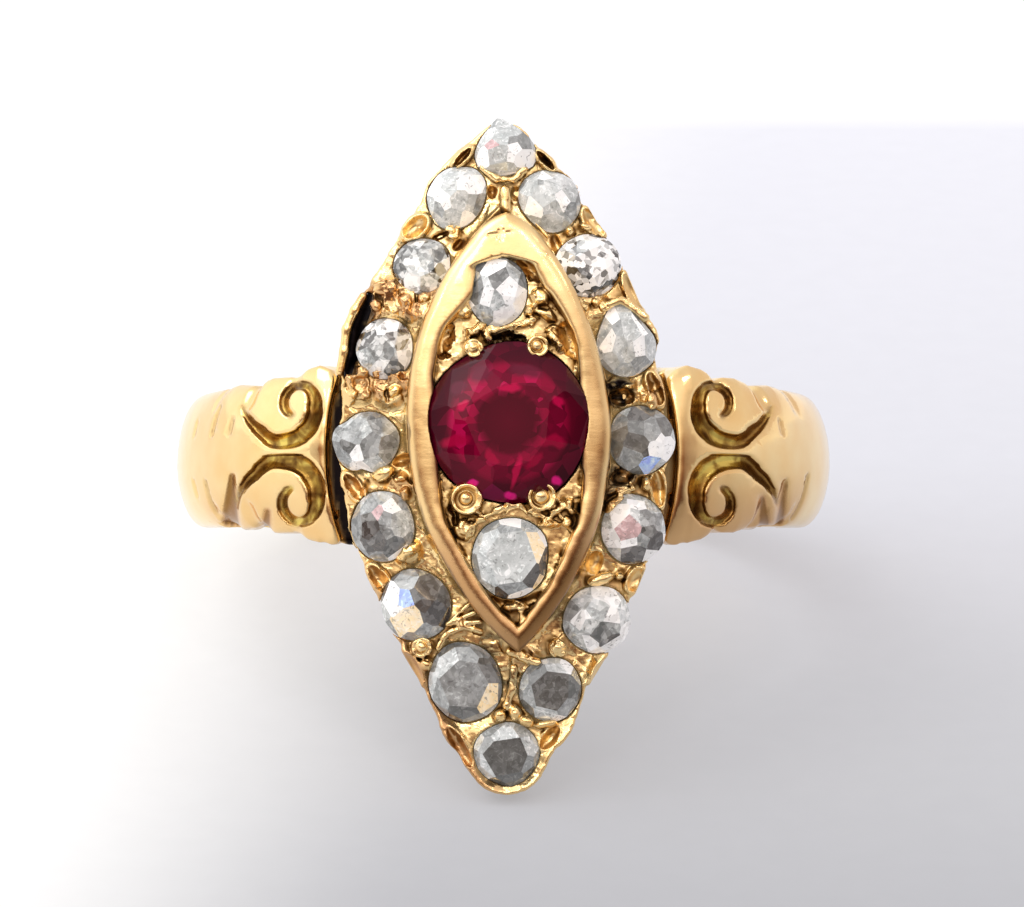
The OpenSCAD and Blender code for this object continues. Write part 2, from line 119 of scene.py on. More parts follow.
# A scroll's stroke from its tail inwards: angle about its middle, radius and width
SCROLL = np.array([
    [183, 1.82, 0.10], [200, 1.64, 0.24], [215, 1.49, 0.33], [237, 1.44, 0.40], [253, 1.27, 0.46],
    [280, 1.03, 0.52], [309, 0.78, 0.48], [342, 0.58, 0.42], [379, 0.53, 0.36], [420, 0.54, 0.27],
    [457, 0.50, 0.24], [506, 0.44, 0.24], [548, 0.44, 0.24], [594, 0.46, 0.20], [606, 0.46, 0.14],
])

# Rays of the engraved star: angle from the length of the bezel, and share of the longest ray
STAR = [(0, 0.55), (40, 0.3), (95, 1.0), (140, 0.4)]

# Cuts: rings of facets from the middle outwards, each as its number of facets, and where its planes
# start and end as shares of the radius and heights in half widths. A table may lie over them. Then
# the base, as a share of the radius, and its depth as a share of the width.
ROSE = dict(table=None, rings=[(6, 0.0, 0.58, 0.60, 0.40), (6, 0.56, 0.42, 0.88, 0.16),
                               (10, 0.82, 0.21, 1.0, -0.02)], base=0.74, deep=0.18)
OLD = dict(table=0.40, rings=[(8, 0.48, 0.40, 0.78, 0.25), (8, 0.52, 0.40, 1.0, 0.0),
                              (16, 0.80, 0.22, 1.0, -0.03)], base=0.50, deep=0.26)
STEP = dict(table=0.30, rings=[(6, 0.62, 0.30, 0.86, 0.17), (11, 0.84, 0.19, 1.0, -0.02)],
            base=0.74, deep=0.18)
ROUND = dict(table=0.30, rings=[(8, 0.50, 0.30, 0.78, 0.20), (8, 0.54, 0.30, 1.0, 0.0),
                                (16, 0.80, 0.17, 1.0, -0.02)], base=0.16, deep=RUBY_DEEP / RUBY_D)

# Rim stones: place as shares of the head's half width and half length, width and height as
# shares of the stone size, how far the outline draws to a point, turn and cut.
RIM = [
    ("diamond_top", 0.030, 0.905, 0.88, 0.80, 0.20, 12, ROSE),
    ("diamond_right_1", 0.290, 0.752, 0.97, 0.87, 0.10, -50, ROSE),
    ("diamond_right_2", 0.510, 0.554, 0.99, 0.94, 0.00, 10, OLD),
    ("diamond_right_3", 0.720, 0.326, 0.90, 1.05, 0.16, 14, ROSE),
    ("diamond_right_4", 0.808, 0.033, 1.00, 1.04, 0.06, 35, ROSE),
    ("diamond_right_5", 0.752, -0.231, 0.98, 1.04, 0.05, 10, ROSE),
    ("diamond_right_6", 0.535, -0.500, 1.02, 1.00, 0.00, 20, ROSE),
    ("diamond_right_7", 0.256, -0.705, 0.92, 0.96, 0.05, -20, STEP),
    ("diamond_bottom", -0.004, -0.897, 0.98, 0.92, -0.06, 0, STEP),
    ("diamond_left_7", -0.242, -0.681, 1.08, 1.20, 0.00, 15, STEP),
    ("diamond_left_6", -0.524, -0.450, 1.04, 1.07, 0.00, 30, ROSE),
    ("diamond_left_5", -0.712, -0.213, 0.96, 1.05, 0.06, 5, ROSE),
    ("diamond_left_4", -0.806, 0.033, 1.02, 0.90, -0.14, -8, ROSE),
    ("diamond_left_3", -0.686, 0.314, 0.86, 0.91, 0.00, 0, OLD),
    ("diamond_left_2", -0.462, 0.560, 0.86, 0.82, 0.00, 22, OLD),
    ("diamond_left_1", -0.262, 0.764, 0.97, 0.86, 0.12, 60, ROSE),
]

# Stones in the bezel: place as shares of its half width and half length, then as above
INNER = [
    ("diamond_above", -0.060, 0.612, 0.86, 0.98, 0.00, 0, ROSE),
    ("diamond_below", -0.040, -0.588, 1.08, 1.12, 0.04, 8, STEP),
]

# Painted reflections and shade on each stone's facets, as tones by letter: the table, then each ring
# clockwise from an angle in degrees. The last number says how much painted small reflections break the facets
# up.
PAINTED_FACET_TONES = {
    "diamond_top": ("", (45, "mwwlpl"), (10, "lmwlwl"), (0, "lllmlwlllm"), 0.05),
    "diamond_right_1": ("", (20, "lwwllm"), (0, "wlmlwl"), (5, "llmllwllml"), 0.15),
    "diamond_right_2": ("w", (0, "wlwkwlwd"), (10, "wmwlwkwl"), (0, "wdmwlkwwmlwgdwml"), 0.9),
    "diamond_right_3": ("", (10, "lwwllm"), (40, "wlmlwl"), (5, "lmlwllmllw"), 0.08),
    "diamond_right_4": ("", (20, "mwwdgg"), (50, "gwbmgd"), (5, "gmlwlgmgml"), 0.08),
    "diamond_right_5": ("", (35, "mgmwpl"), (10, "wmkdww"), (5, "lllwwllwll"), 0.2),
    "diamond_right_6": ("", (0, "lwmglw"), (30, "wldwwl"), (5, "wllwwwllml"), 0.25),
    "diamond_right_7": ("g", (20, "lgmlmg"), (0, "lwmgmwlgmlmg"), 0.1),
    "diamond_bottom": ("g", (0, "llmglm"), (0, "lmlmgmglmlml"), 0.05),
    "diamond_left_7": ("m", (10, "mgcgml"), (0, "gmgmlmdmlmgm"), 0.1),
    "diamond_left_6": ("", (15, "kddcwb"), (40, "gdmcwm"), (5, "gmgdlmmlgd"), 0.12),
    "diamond_left_5": ("", (5, "pmmddg"), (30, "wlgdgm"), (5, "lmlmwmmgml"), 0.15),
    "diamond_left_4": ("", (15, "lgmwgm"), (45, "mglmgm"), (5, "mgmmlwmgml"), 0.2),
    "diamond_left_3": ("m", (0, "wkwmwdwd"), (20, "wdwgwlkw"), (0, "lwdgwkwmwdlwmkwg"), 0.45),
    "diamond_left_2": ("l", (0, "gdwgmblg"), (20, "mldlwmgm"), (0, "mlgdwlkwmldkwlgm"), 0.55),
    "diamond_left_1": ("", (30, "wmlwwl"), (0, "lwllmw"), (5, "lllmwlllwl"), 0.12),
    "diamond_above": ("", (10, "gwwlwl"), (40, "lwwmgw"), (5, "mgmwwwlwmg"), 0.15),
    "diamond_below": ("l", (5, "mcdmll"), (0, "wlwgcwdlmlml"), 0.06),
    "ruby": ("x", (22, "sxrRxrrs"), (0, "ssrxrRxr"), (11, "sxrxRxMrMxRrxxsx"), 0.5),
}

# Small departures of a stone's outline: clock angle, amount and width
DENTS = {
    "diamond_top": [(-10, 0.22, 17), (55, -0.06, 20), (125, 0.08, 15), (-100, 0.05, 15)],
    "diamond_right_1": [(100, 0.05, 25), (-40, -0.05, 25)],
    "diamond_right_3": [(-4, 0.12, 22), (50, -0.06, 20), (-60, -0.04, 20)],
    "diamond_right_4": [(60, 0.05, 20), (140, -0.05, 20)],
    "diamond_left_4": [(186, -0.14, 13), (-35, -0.12, 18), (20, 0.07, 16), (235, 0.05, 20)],
    "diamond_left_1": [(35, 0.06, 20), (-60, -0.04, 25)],
    "diamond_bottom": [(0, 0.05, 20), (180, 0.05, 20)],
    "diamond_below": [(60, 0.06, 18), (100, -0.06, 18), (200, 0.04, 20)],
}

# Scooped leaves of gold round the edge: place, length, width and heading
LEAVES = [
    (-1.11, 8.81, 1.05, 0.42, 47), (1.37, 8.69, 1.0, 0.42, -47), (-2.53, 6.75, 1.1, 0.75, 42),
    (2.77, 6.83, 1.2, 0.66, -54), (3.93, 4.74, 1.45, 0.6, -65), (4.54, 1.84, 1.3, 0.6, -71),
    (-4.46, -0.98, 1.2, 0.62, -55), (4.6, -1.13, 1.35, 0.6, -85), (-3.72, -3.74, 1.3, 0.66, -55),
    (3.9, -3.84, 1.0, 0.7, 60), (-2.79, -6.36, 1.35, 0.6, -60), (2.8, -6.55, 1.15, 0.6, 57),
    (-1.43, -8.71, 1.6, 0.6, -60), (1.27, -8.48, 1.1, 0.6, 52),
]

# Beads in cut rings: place, radius of the ring and of the bead
CUPS = [
    (-1.44, 6.62, 0.2, 0.11), (-4.28, 2.13, 0.27, 0.0), (-2.52, -5.74, 0.27, 0.19),
    (1.51, -5.82, 0.22, 0.19),
]

# Lumps and prongs: place, two radii and heading
LUMPS = [
    (3.34, -1.64, 0.42, 0.27, 30), (-3.5, 4.93, 0.36, 0.22, 10), (-2.86, 4.54, 0.25, 0.2, 60),
    (-2.26, 4.62, 0.22, 0.16, 20), (-3.75, 4.4, 0.2, 0.16, 100), (-3.58, -0.57, 0.36, 0.22, 25),
    (-2.93, -1.18, 0.16, 0.22, 0), (-2.87, -2.92, 0.42, 0.2, 35), (4.26, -1.0, 0.13, 0.22, 0),
    (2.84, -3.8, 0.42, 0.19, 15), (3.4, -3.72, 0.14, 0.12, 0), (3.27, 1.94, 0.16, 0.1, 0),
    (3.77, 1.93, 0.2, 0.1, 20), (-0.21, -7.81, 0.2, 0.2, 0), (0.24, -7.73, 0.2, 0.24, 20),
    (0.59, -8.0, 0.24, 0.18, -20), (1.15, -8.07, 0.36, 0.12, 10), (-2.38, -6.27, 0.19, 0.19, 0),
    (-3.19, 1.88, 0.22, 0.18, 30), (-3.71, 2.42, 0.2, 0.14, 0), (2.44, 4.29, 0.2, 0.15, 0),
    (2.83, 4.46, 0.18, 0.14, 40), (4.42, 1.48, 0.2, 0.3, 0), (2.53, 6.69, 0.2, 0.1, -20),
    (2.06, 6.6, 0.14, 0.14, 0), (3.14, -1.17, 0.3, 0.14, 20), (-3.07, -0.73, 0.2, 0.12, 0),
    (-4.16, 2.45, 0.14, 0.2, 60), (-4.54, 2.25, 0.12, 0.18, -20), (-4.46, 1.8, 0.18, 0.14, 0),
    (-4.05, 1.8, 0.16, 0.14, 40),
]

# Ridges: two ends and the radius
RIDGES = [
    (-0.5, 8.5, -0.09, 8.14, 0.12), (-0.09, 8.14, 0.42, 8.11, 0.09), (0.42, 8.11, 0.72, 8.43, 0.12),
    (0.15, 7.81, 0.17, 7.25, 0.17), (-1.74, -5.07, -1.05, -4.46, 0.06),
    (-1.74, -5.07, -0.88, -4.73, 0.07),
    (-1.74, -5.07, -0.76, -5.02, 0.07), (-2.01, -5.78, -1.77, -5.37, 0.09),
    (-1.77, -5.37, -1.3, -5.16, 0.09),
    (-1.3, -5.16, -0.76, -5.29, 0.09), (3.03, 4.28, 3.57, 4.51, 0.12), (3.57, 4.51, 4.27, 3.97, 0.13),
    (0.23, -6.4, 0.16, -7.05, 0.12), (0.16, -7.05, -0.02, -7.52, 0.12), (3.7, -0.85, 3.85, -1.12, 0.06),
    (3.85, -1.12, 3.43, -1.26, 0.06), (0.99, 6.89, 1.4, 6.38, 0.05), (0.11, -5.92, 0.94, -6.29, 0.12),
]

# Dark hollows: place, two radii and heading
PITS = [
    (-0.24, 7.76, 0.16, 0.22, 0), (0.46, 7.72, 0.16, 0.22, 0), (-1.8, 6.48, 0.3, 0.1, 20),
    (-1.27, 6.2, 0.14, 0.24, -40), (1.66, 6.17, 0.18, 0.4, 20), (-3.04, -0.2, 0.3, 0.18, 20),
    (2.67, -3.32, 0.25, 0.4, -20), (3.53, -0.73, 0.36, 0.26, 20), (3.53, 1.61, 0.4, 0.26, 0),
    (1.43, 8.69, 0.2, 0.04, -50), (2.83, 7.07, 0.28, 0.05, -70),
]

# Where gold is chewed up: place, radius and height
CHEWED = [
    (-3.54, 4.64, 0.75, 1.0), (-2.56, 4.59, 0.7, 1.0), (-4.31, 2.13, 0.6, 0.8), (-3.33, 2.06, 0.65, 1.0),
    (2.71, 4.26, 0.5, 0.8), (3.53, 1.7, 0.55, 0.8), (4.48, 1.72, 0.5, 0.7), (-3.08, -1.0, 0.45, 0.8),
    (3.34, -1.17, 0.5, 0.7), (-2.87, -2.92, 0.4, 0.7), (0.56, -6.17, 0.45, 0.6), (-1.65, -5.1, 0.5, 0.4),
    (-4.5, -0.92, 0.45, 0.5), (3.53, -0.73, 0.5, 0.6),
]

# Painted shade between the stones: place, radius and strength
PAINTED_SHADE_SPOTS = [
    (3.45, 1.75, 0.5, 1.0), (3.55, -0.72, 0.45, 1.0), (3.1, 0.35, 0.35, 0.8), (2.95, -1.3, 0.4, 0.7),
    (-0.45, -5.65, 0.35, 0.7), (0.1, -6.75, 0.3, 0.6), (1.75, -5.0, 0.35, 0.7),
]

# The dark void beside the third stone on the left, inside a thin rim
VOID = [
    (-3.98, 4.72, 0.1), (-4.12, 4.32, 0.22), (-4.34, 3.75, 0.26), (-4.46, 3.1, 0.22),
    (-4.64, 2.5, 0.16),
]
VOID_DEPTHS = (0.2, 0.45, 0.68)
# Radius of the rods that build that rim, their depths and the gap to the void
VOID_WALL, VOID_WALL_DEPTHS, VOID_WALL_OUT = 0.12, (0.16, 0.36, 0.56), 0.05

# The same kinds of detail inside the bezel, in its own frame
BEZEL_CUPS = [
    (-0.96, 2.36, 0.24, 0.17), (0.93, 2.34, 0.28, 0.17), (-1.36, -2.07, 0.42, 0.2),
    (0.86, -2.1, 0.38, 0.24),
]
BEZEL_LUMPS = [
    (-1.21, 3.5, 0.28, 0.26, 0), (1.11, 3.81, 0.3, 0.26, 0), (-1.43, -2.98, 0.34, 0.3, 20),
    (-0.88, 2.86, 0.3, 0.14, 30), (-0.56, 2.73, 0.12, 0.25, 20), (1.42, 2.64, 0.2, 0.28, 20),
    (1.21, 3.27, 0.34, 0.14, -30), (0.77, 3.38, 0.22, 0.12, 40), (1.61, 2.37, 0.14, 0.2, 0),
    (1.29, -2.57, 0.3, 0.12, 35), (1.57, -2.93, 0.16, 0.12, 0), (1.06, -2.91, 0.3, 0.1, -10),
    (-1.58, -1.7, 0.2, 0.1, 60), (-1.05, -2.47, 0.2, 0.1, -30), (-0.85, -1.97, 0.12, 0.2, 20),
    (1.71, -2.38, 0.1, 0.24, 10), (-0.02, -5.35, 0.4, 0.14, 0),
]
BEZEL_RIDGES = [
    (-0.67, 2.88, 0.01, 2.91, 0.09), (0.01, 2.91, 0.82, 3.11, 0.1), (-1.03, -2.73, -0.43, -2.46, 0.1),
    (-0.43, -2.46, 0.26, -2.23, 0.12), (0.34, -2.41, 1.27, -2.92, 0.07), (1.3, -2.21, 1.85, -2.59, 0.07),
    (1.18, -2.35, 1.68, -3.12, 0.07), (0.12, -5.48, 0.16, -6.0, 0.1),
]
BEZEL_PITS = [
    (-0.65, 4.92, 0.42, 0.22, 40), (0.8, 4.69, 0.55, 0.2, -52), (-1.78, 2.6, 0.24, 0.55, -15),
    (1.91, 2.44, 0.24, 0.6, 18), (0.0, 2.58, 0.6, 0.2, 0), (-1.71, -2.53, 0.12, 0.35, 10),
    (2.07, -2.84, 0.12, 0.5, 8),
]
# The solid sheet at the bezel's upper end: its middle, its radius and where it fills the width
SHEET_Y, SHEET_R, SHEET_FROM = 5.7, 0.8, (4.7, 5.2)
# Painted shadow in the gap behind the ruby's upper edge: place, radius and strength
RUBY_SHADOW = [(-0.25, 2.5, 0.3, 1.0), (0.25, 2.5, 0.3, 1.0)]


def smooth_min(a, b, k):
    """The lower of two fields, blended over a width k."""
    h = np.clip(0.5 + 0.5 * (b - a) / k, 0, 1)
    return b + (a - b) * h - k * h * (1 - h)


def smooth_max(a, b, k):
    return -smooth_min(-a, -b, k)


def smooth_step(low, high, value):
    t = np.clip((value - low) / (high - low), 0, 1)
    return t * t * (3 - 2 * t)


def bump(value, middle, width):
    return np.exp(-((value - middle) / width) ** 2)


def turned(x, y, angle):
    c, s = math.cos(angle), math.sin(angle)
    return x * c - y * s, x * s + y * c


class Block:
    """Space sampled on a regular grid: field holds distances in mm, below zero inside the metal.

    near holds distances to what else stands there, and only shades the hollows.
    """

    def __init__(self, low, high, step):
        self.low = np.array(low, float)
        self.step = np.ones(3) * step
        self.counts = np.ceil((np.array(high) - self.low) / self.step).astype(int) + 1
        lines = [self.low[i] + self.step[i] * np.arange(self.counts[i]) for i in range(3)]
        self.x, self.y, self.z = np.meshgrid(*[v.astype(np.float32) for v in lines],
                                             indexing="ij", sparse=True)
        self.field = np.full(self.counts, FAR, np.float32)
        self.near = np.full(self.counts, FAR, np.float32)

    def window(self, centre, reach):
        """Slices of the block within reach of a point, and the coordinates from that point."""
        centre, reach = np.array(centre, float), np.ones(3) * reach
        first = np.clip(np.floor((centre - reach - self.low) / self.step), 0, self.counts - 2)
        last = np.clip(np.ceil((centre + reach - self.low) / self.step) + 1, first + 1, self.counts)
        i, j, k = (slice(int(a), int(b)) for a, b in zip(first, last))
        return ((i, j, k), self.x[i] - centre[0], self.y[:, j] - centre[1], self.z[:, :, k] - centre[2])

    def mix(self, at, shape, blend, cut):
        metal = self.field[at]
        self.field[at] = smooth_max(metal, -shape, blend) if cut else smooth_min(metal, shape, blend)

    def blob(self, centre, radii, heading=0.0, blend=0.12, cut=False):
        """Adds an ellipsoid to the metal, or cuts it out."""
        radii = np.ones(3) * radii
        at, x, y, z = self.window(centre, radii.max() + blend)
        x, y = turned(x, y, -math.radians(heading))
        k0 = np.sqrt((x / radii[0]) ** 2 + (y / radii[1]) ** 2 + (z / radii[2]) ** 2)
        k1 = np.sqrt((x / radii[0] ** 2) ** 2 + (y / radii[1] ** 2) ** 2 + (z / radii[2] ** 2) ** 2)
        self.mix(at, k0 * (k0 - 1) / np.maximum(k1, 1e-6), blend, cut)

    def ring(self, centre, radius, tube, blend=0.05):
        """Adds a small level ring to the metal."""
        at, x, y, z = self.window(centre, radius + tube + blend)
        self.mix(at, np.sqrt((np.sqrt(x * x + y * y) - radius) ** 2 + z * z) - tube, blend, False)

    def rod(self, start, end, radius, blend=0.06, cut=False):
        """Adds a round bar between two points, or cuts it out."""
        start, end = np.array(start, float), np.array(end, float)
        reach = np.abs(end - start) / 2 + radius + blend
        at, x, y, z = self.window((start + end) / 2, reach)
        half = (end - start) / 2
        along = np.clip((x * half[0] + y * half[1] + z * half[2]) / (half @ half), -1, 1)
        x, y, z = x - along * half[0], y - along * half[1], z - along * half[2]
        self.mix(at, np.sqrt(x * x + y * y + z * z) - radius, blend, cut)

    def leaf(self, x, y, w, long, wide, heading):
        """A scooped leaf of gold with a thin rim."""
        self.blob((x, y, w - 0.12), (long / 2, wide / 2, 0.34), heading, 0.1)
        self.blob((x, y, w + 0.2), (long / 2 - 0.1, wide / 2 - 0.1, 0.42), heading, 0.04, cut=True)

    def cup(self, x, y, w, radius, bead):
        """A bead in a ring that a hollow punch has cut round it."""
        self.blob((x, y, w - 0.1), (radius * 1.15, radius * 1.15, 0.3), 0, 0.08)
        self.blob((x, y, w + 0.2), (radius, radius * 0.9, 0.22), 40, 0.05, cut=True)
        self.ring((x + 0.03, y - 0.02, w + 0.1), radius, 0.04, 0.08)
        for turn in (0.4, 2.3, 3.6, 5.3):
            a = turn + 7 * x + 3 * y
            dx, dy = radius * math.cos(a), radius * math.sin(a)
            inner = (x + dx * 0.8, y + dy * 0.8, w + 0.2)
            self.rod(inner, (x + dx * 1.5, y + dy * 1.5, w + 0.12), 0.07, 0.05, cut=True)
        if bead:
            self.blob((x, y, w + 0.02), (bead, bead, bead * 1.2), 0, 0.04)

    def details(self, level, lumps, ridges, pits, ridge_up, pit, blend):
        """Lumps and ridges on the gold at a level, and pits of a depth and height in it."""
        for x, y, radius, other, heading in lumps:
            self.blob((x, y, level), (radius, other, 0.26), heading, blend)
        for ax, ay, bx, by, radius in ridges:
            self.rod((ax, ay, level + ridge_up), (bx, by, level + ridge_up), radius)
        for x, y, radius, other, heading in pits:
            self.blob((x, y, level - pit[0]), (radius, other, pit[1]), heading, blend, cut=True)

    def noise(self, cell, seed):
        """Smooth noise from -1 to 1, from random values a cell apart."""
        cells = np.ceil(self.counts * self.step / cell).astype(int) + 2
        values = np.random.default_rng(seed).uniform(-1, 1, cells).astype(np.float32)
        for axis in range(3):
            place = np.arange(self.counts[axis]) * self.step[axis] / cell
            whole = place.astype(int)
            share = (place - whole).astype(np.float32)
            share = share * share * (3 - 2 * share)
            share = share.reshape([-1 if a == axis else 1 for a in range(3)])
            values = np.take(values, whole, axis) * (1 - share) + np.take(values, whole + 1, axis) * share
        return values

    def crumple(self, spacing, seed):
        """Flat facets at random slopes, as chiselled gold has, over the block's X and Y."""
        rng = np.random.default_rng(seed)
        size = (self.counts * self.step)[:2]
        rows = [np.arange(0, s + spacing, spacing) for s in size]
        seeds = np.stack(np.meshgrid(*rows, indexing="ij"), -1)
        seeds = seeds.reshape(-1, 2) + rng.uniform(-0.45, 0.45, (seeds.size // 2, 2)) * spacing
        slopes = rng.uniform(-1, 1, (len(seeds), 3))
        x = (self.x - self.low[0])[..., 0]
        y = (self.y - self.low[1])[..., 0]
        nearest = np.full((self.counts[0], self.counts[1]), 1e9)
        height = np.zeros_like(nearest)
        for (sx, sy), (a, b, c) in zip(seeds, slopes):
            i, j = (slice(max(0, int((s - 2 * spacing) / step)), int((s + 2 * spacing) / step))
                    for s, step in zip((sx, sy), self.step))
            dx, dy = x[i] - sx, y[:, j] - sy
            far = dx * dx + dy * dy
            closer = far < nearest[i, j]
            nearest[i, j] = np.where(closer, far, nearest[i, j])
            height[i, j] = np.where(closer, (a * dx + b * dy) / spacing + 0.35 * c, height[i, j])
        return height[..., None].astype(np.float32)

    def patches(self, spots):
        """From 0 to 1, by how near a point of the X and Y plane is to listed spots."""
        total = 0
        for x, y, radius, amount in spots:
            far = np.hypot(self.x - x, self.y - y) / radius
            total = np.maximum(total, amount * smooth_step(1.25, 0.7, far))
        return total

    def sample(self, values, at):
        """Values of a grid at points given in grid steps, mixed from the eight round each."""
        at = np.clip(at, 0, np.array(values.shape) - 1.001)
        whole = np.floor(at).astype(int)
        share = at - whole
        total = 0
        for corner in range(8):
            bits = np.array([(corner >> a) & 1 for a in range(3)])
            weight = np.prod(np.where(bits, share, 1 - share), axis=1)
            total = total + weight * values[tuple((whole + bits).T)]
        return total

    def mesh(self, name, place, flatness, marks=None):
        """The surface of the metal as an object; place turns grid coordinates into the upright frame."""
        for axis in range(3):
            for end in (0, -1):
                edge = [slice(None)] * 3
                edge[axis] = end
                self.field[tuple(edge)] = np.maximum(self.field[tuple(edge)], self.step.min())
        grid = openvdb.FloatGrid(FAR)
        grid.copyFromArray(self.field)
        points, triangles, quads = grid.convertToPolygons(0.0, flatness)
        points = points.astype(float)
        faces = [list(map(int, f)) for f in triangles] + [list(map(int, f)) for f in quads]
        faces = [f for f in faces if len(set(f)) > 2]
        spots = self.low + points * self.step
        # Normals from the field itself keep the polish smooth
        slope = np.zeros_like(points)
        jacobian = np.zeros((len(points), 3, 3))
        nudge_by = 0.6
        for axis in range(3):
            nudge = np.zeros(3)
            nudge[axis] = nudge_by
            width = 2 * nudge_by * self.step[axis]
            slope[:, axis] = (self.sample(self.field, points + nudge)
                              - self.sample(self.field, points - nudge)) / width
            jacobian[:, :, axis] = (place(spots + nudge * self.step)
                                    - place(spots - nudge * self.step)) / width
        if np.linalg.det(jacobian).mean() < 0:
            faces = [f[::-1] for f in faces]
        normals = np.linalg.solve(np.transpose(jacobian, (0, 2, 1)), slope[..., None])[..., 0]
        normals /= np.maximum(np.linalg.norm(normals, axis=1), 1e-9)[:, None]
        made = solid(name, to_row(place(spots)), faces, normals @ np.array(LAID.to_3x3()).T / MM)
        # Oxide, and painted shade standing in for the shade of hollows, gather where little of the way out is
        # open
        filled = np.minimum(self.field, self.near)
        dirt_and_shade = 0
        for far in DIRT_AND_SHADE_REACH:
            shift = np.linalg.solve(jacobian, normals[..., None] * far)[..., 0] / self.step
            dirt_and_shade = dirt_and_shade + np.clip(1 - self.sample(filled, points + shift) / far, 0, 1) / len(DIRT_AND_SHADE_REACH)
        layers = {"dirt_and_shade": dirt_and_shade}
        for key, values in (marks or {}).items():
            layers[key] = self.sample(np.broadcast_to(values, self.counts), points)
        for key, values in layers.items():
            layer = made.data.attributes.new(key, "FLOAT", "POINT")
            layer.data.foreach_set("value", values.astype(np.float32))
        return made


# Distances over which the room in front of a surface is judged for the oxide and painted shade, in mm
DIRT_AND_SHADE_REACH = (0.1, 0.25, 0.5)

# From the upright frame, in mm, to where the ring lies, in metres
LAID = (Matrix.Translation(BORE_AT) @ Matrix.Rotation(math.pi / 2 - LEAN, 4, "X") @ Matrix.Scale(MM, 4))


def to_row(points):
    m = np.array(LAID)
    return points @ m[:3, :3].T + m[:3, 3]


def solid(name, points, faces, normals=None):
    data = bpy.data.meshes.new(name)
    data.from_pydata(points, [], faces)
    if normals is not None:
        data.polygons.foreach_set("use_smooth", np.ones(len(data.polygons), bool))
        data.normals_split_custom_set_from_vertices(normals)
    data.update()
    made = bpy.data.objects.new(name, data)
    bpy.context.collection.objects.link(made)
    return made


def crown_z(x, y, drop=0.0):
    """Height of the plate's crown over a point of the head, lowered by drop."""
    tube, ring = CROWN_ACROSS_R - drop, CROWN_ALONG_R - CROWN_ACROSS_R
    return CREST_Z - CROWN_ALONG_R + np.sqrt((ring + np.sqrt(tube * tube - x * x)) ** 2 - y * y)


def head_to_upright(p):
    """Points over the head, whose third coordinate is the height over the crown."""
    x, y = turned(p[:, 0], p[:, 1], HEAD_TURN)
    return np.stack([x, y, crown_z(p[:, 0], p[:, 1]) + p[:, 2]], 1)


def bezel_to_head(x, y):
    x, y = turned(x, y, BEZEL_TURN)
    return x + BEZEL_RIGHT, y + BEZEL_UP


def bezel_to_upright(p):
    x, y = bezel_to_head(p[:, 0], p[:, 1])
    return head_to_upright(np.stack([x, y, p[:, 2]], 1))


def ring_to_upright(p):
    """Points given as an evened angle, a radius and a place along the finger."""
    a = ring_angle(p[:, 0])
    return np.stack([p[:, 1] * np.sin(a), p[:, 2], p[:, 1] * np.cos(a)], 1)


def lens(x, y, half_l, half_b):
    """Distance to a pointed oval between two arcs."""
    r = (half_l ** 2 + half_b ** 2) / (2 * half_b)
    return np.maximum(np.hypot(x - (r - half_b), y), np.hypot(x + (r - half_b), y)) - r


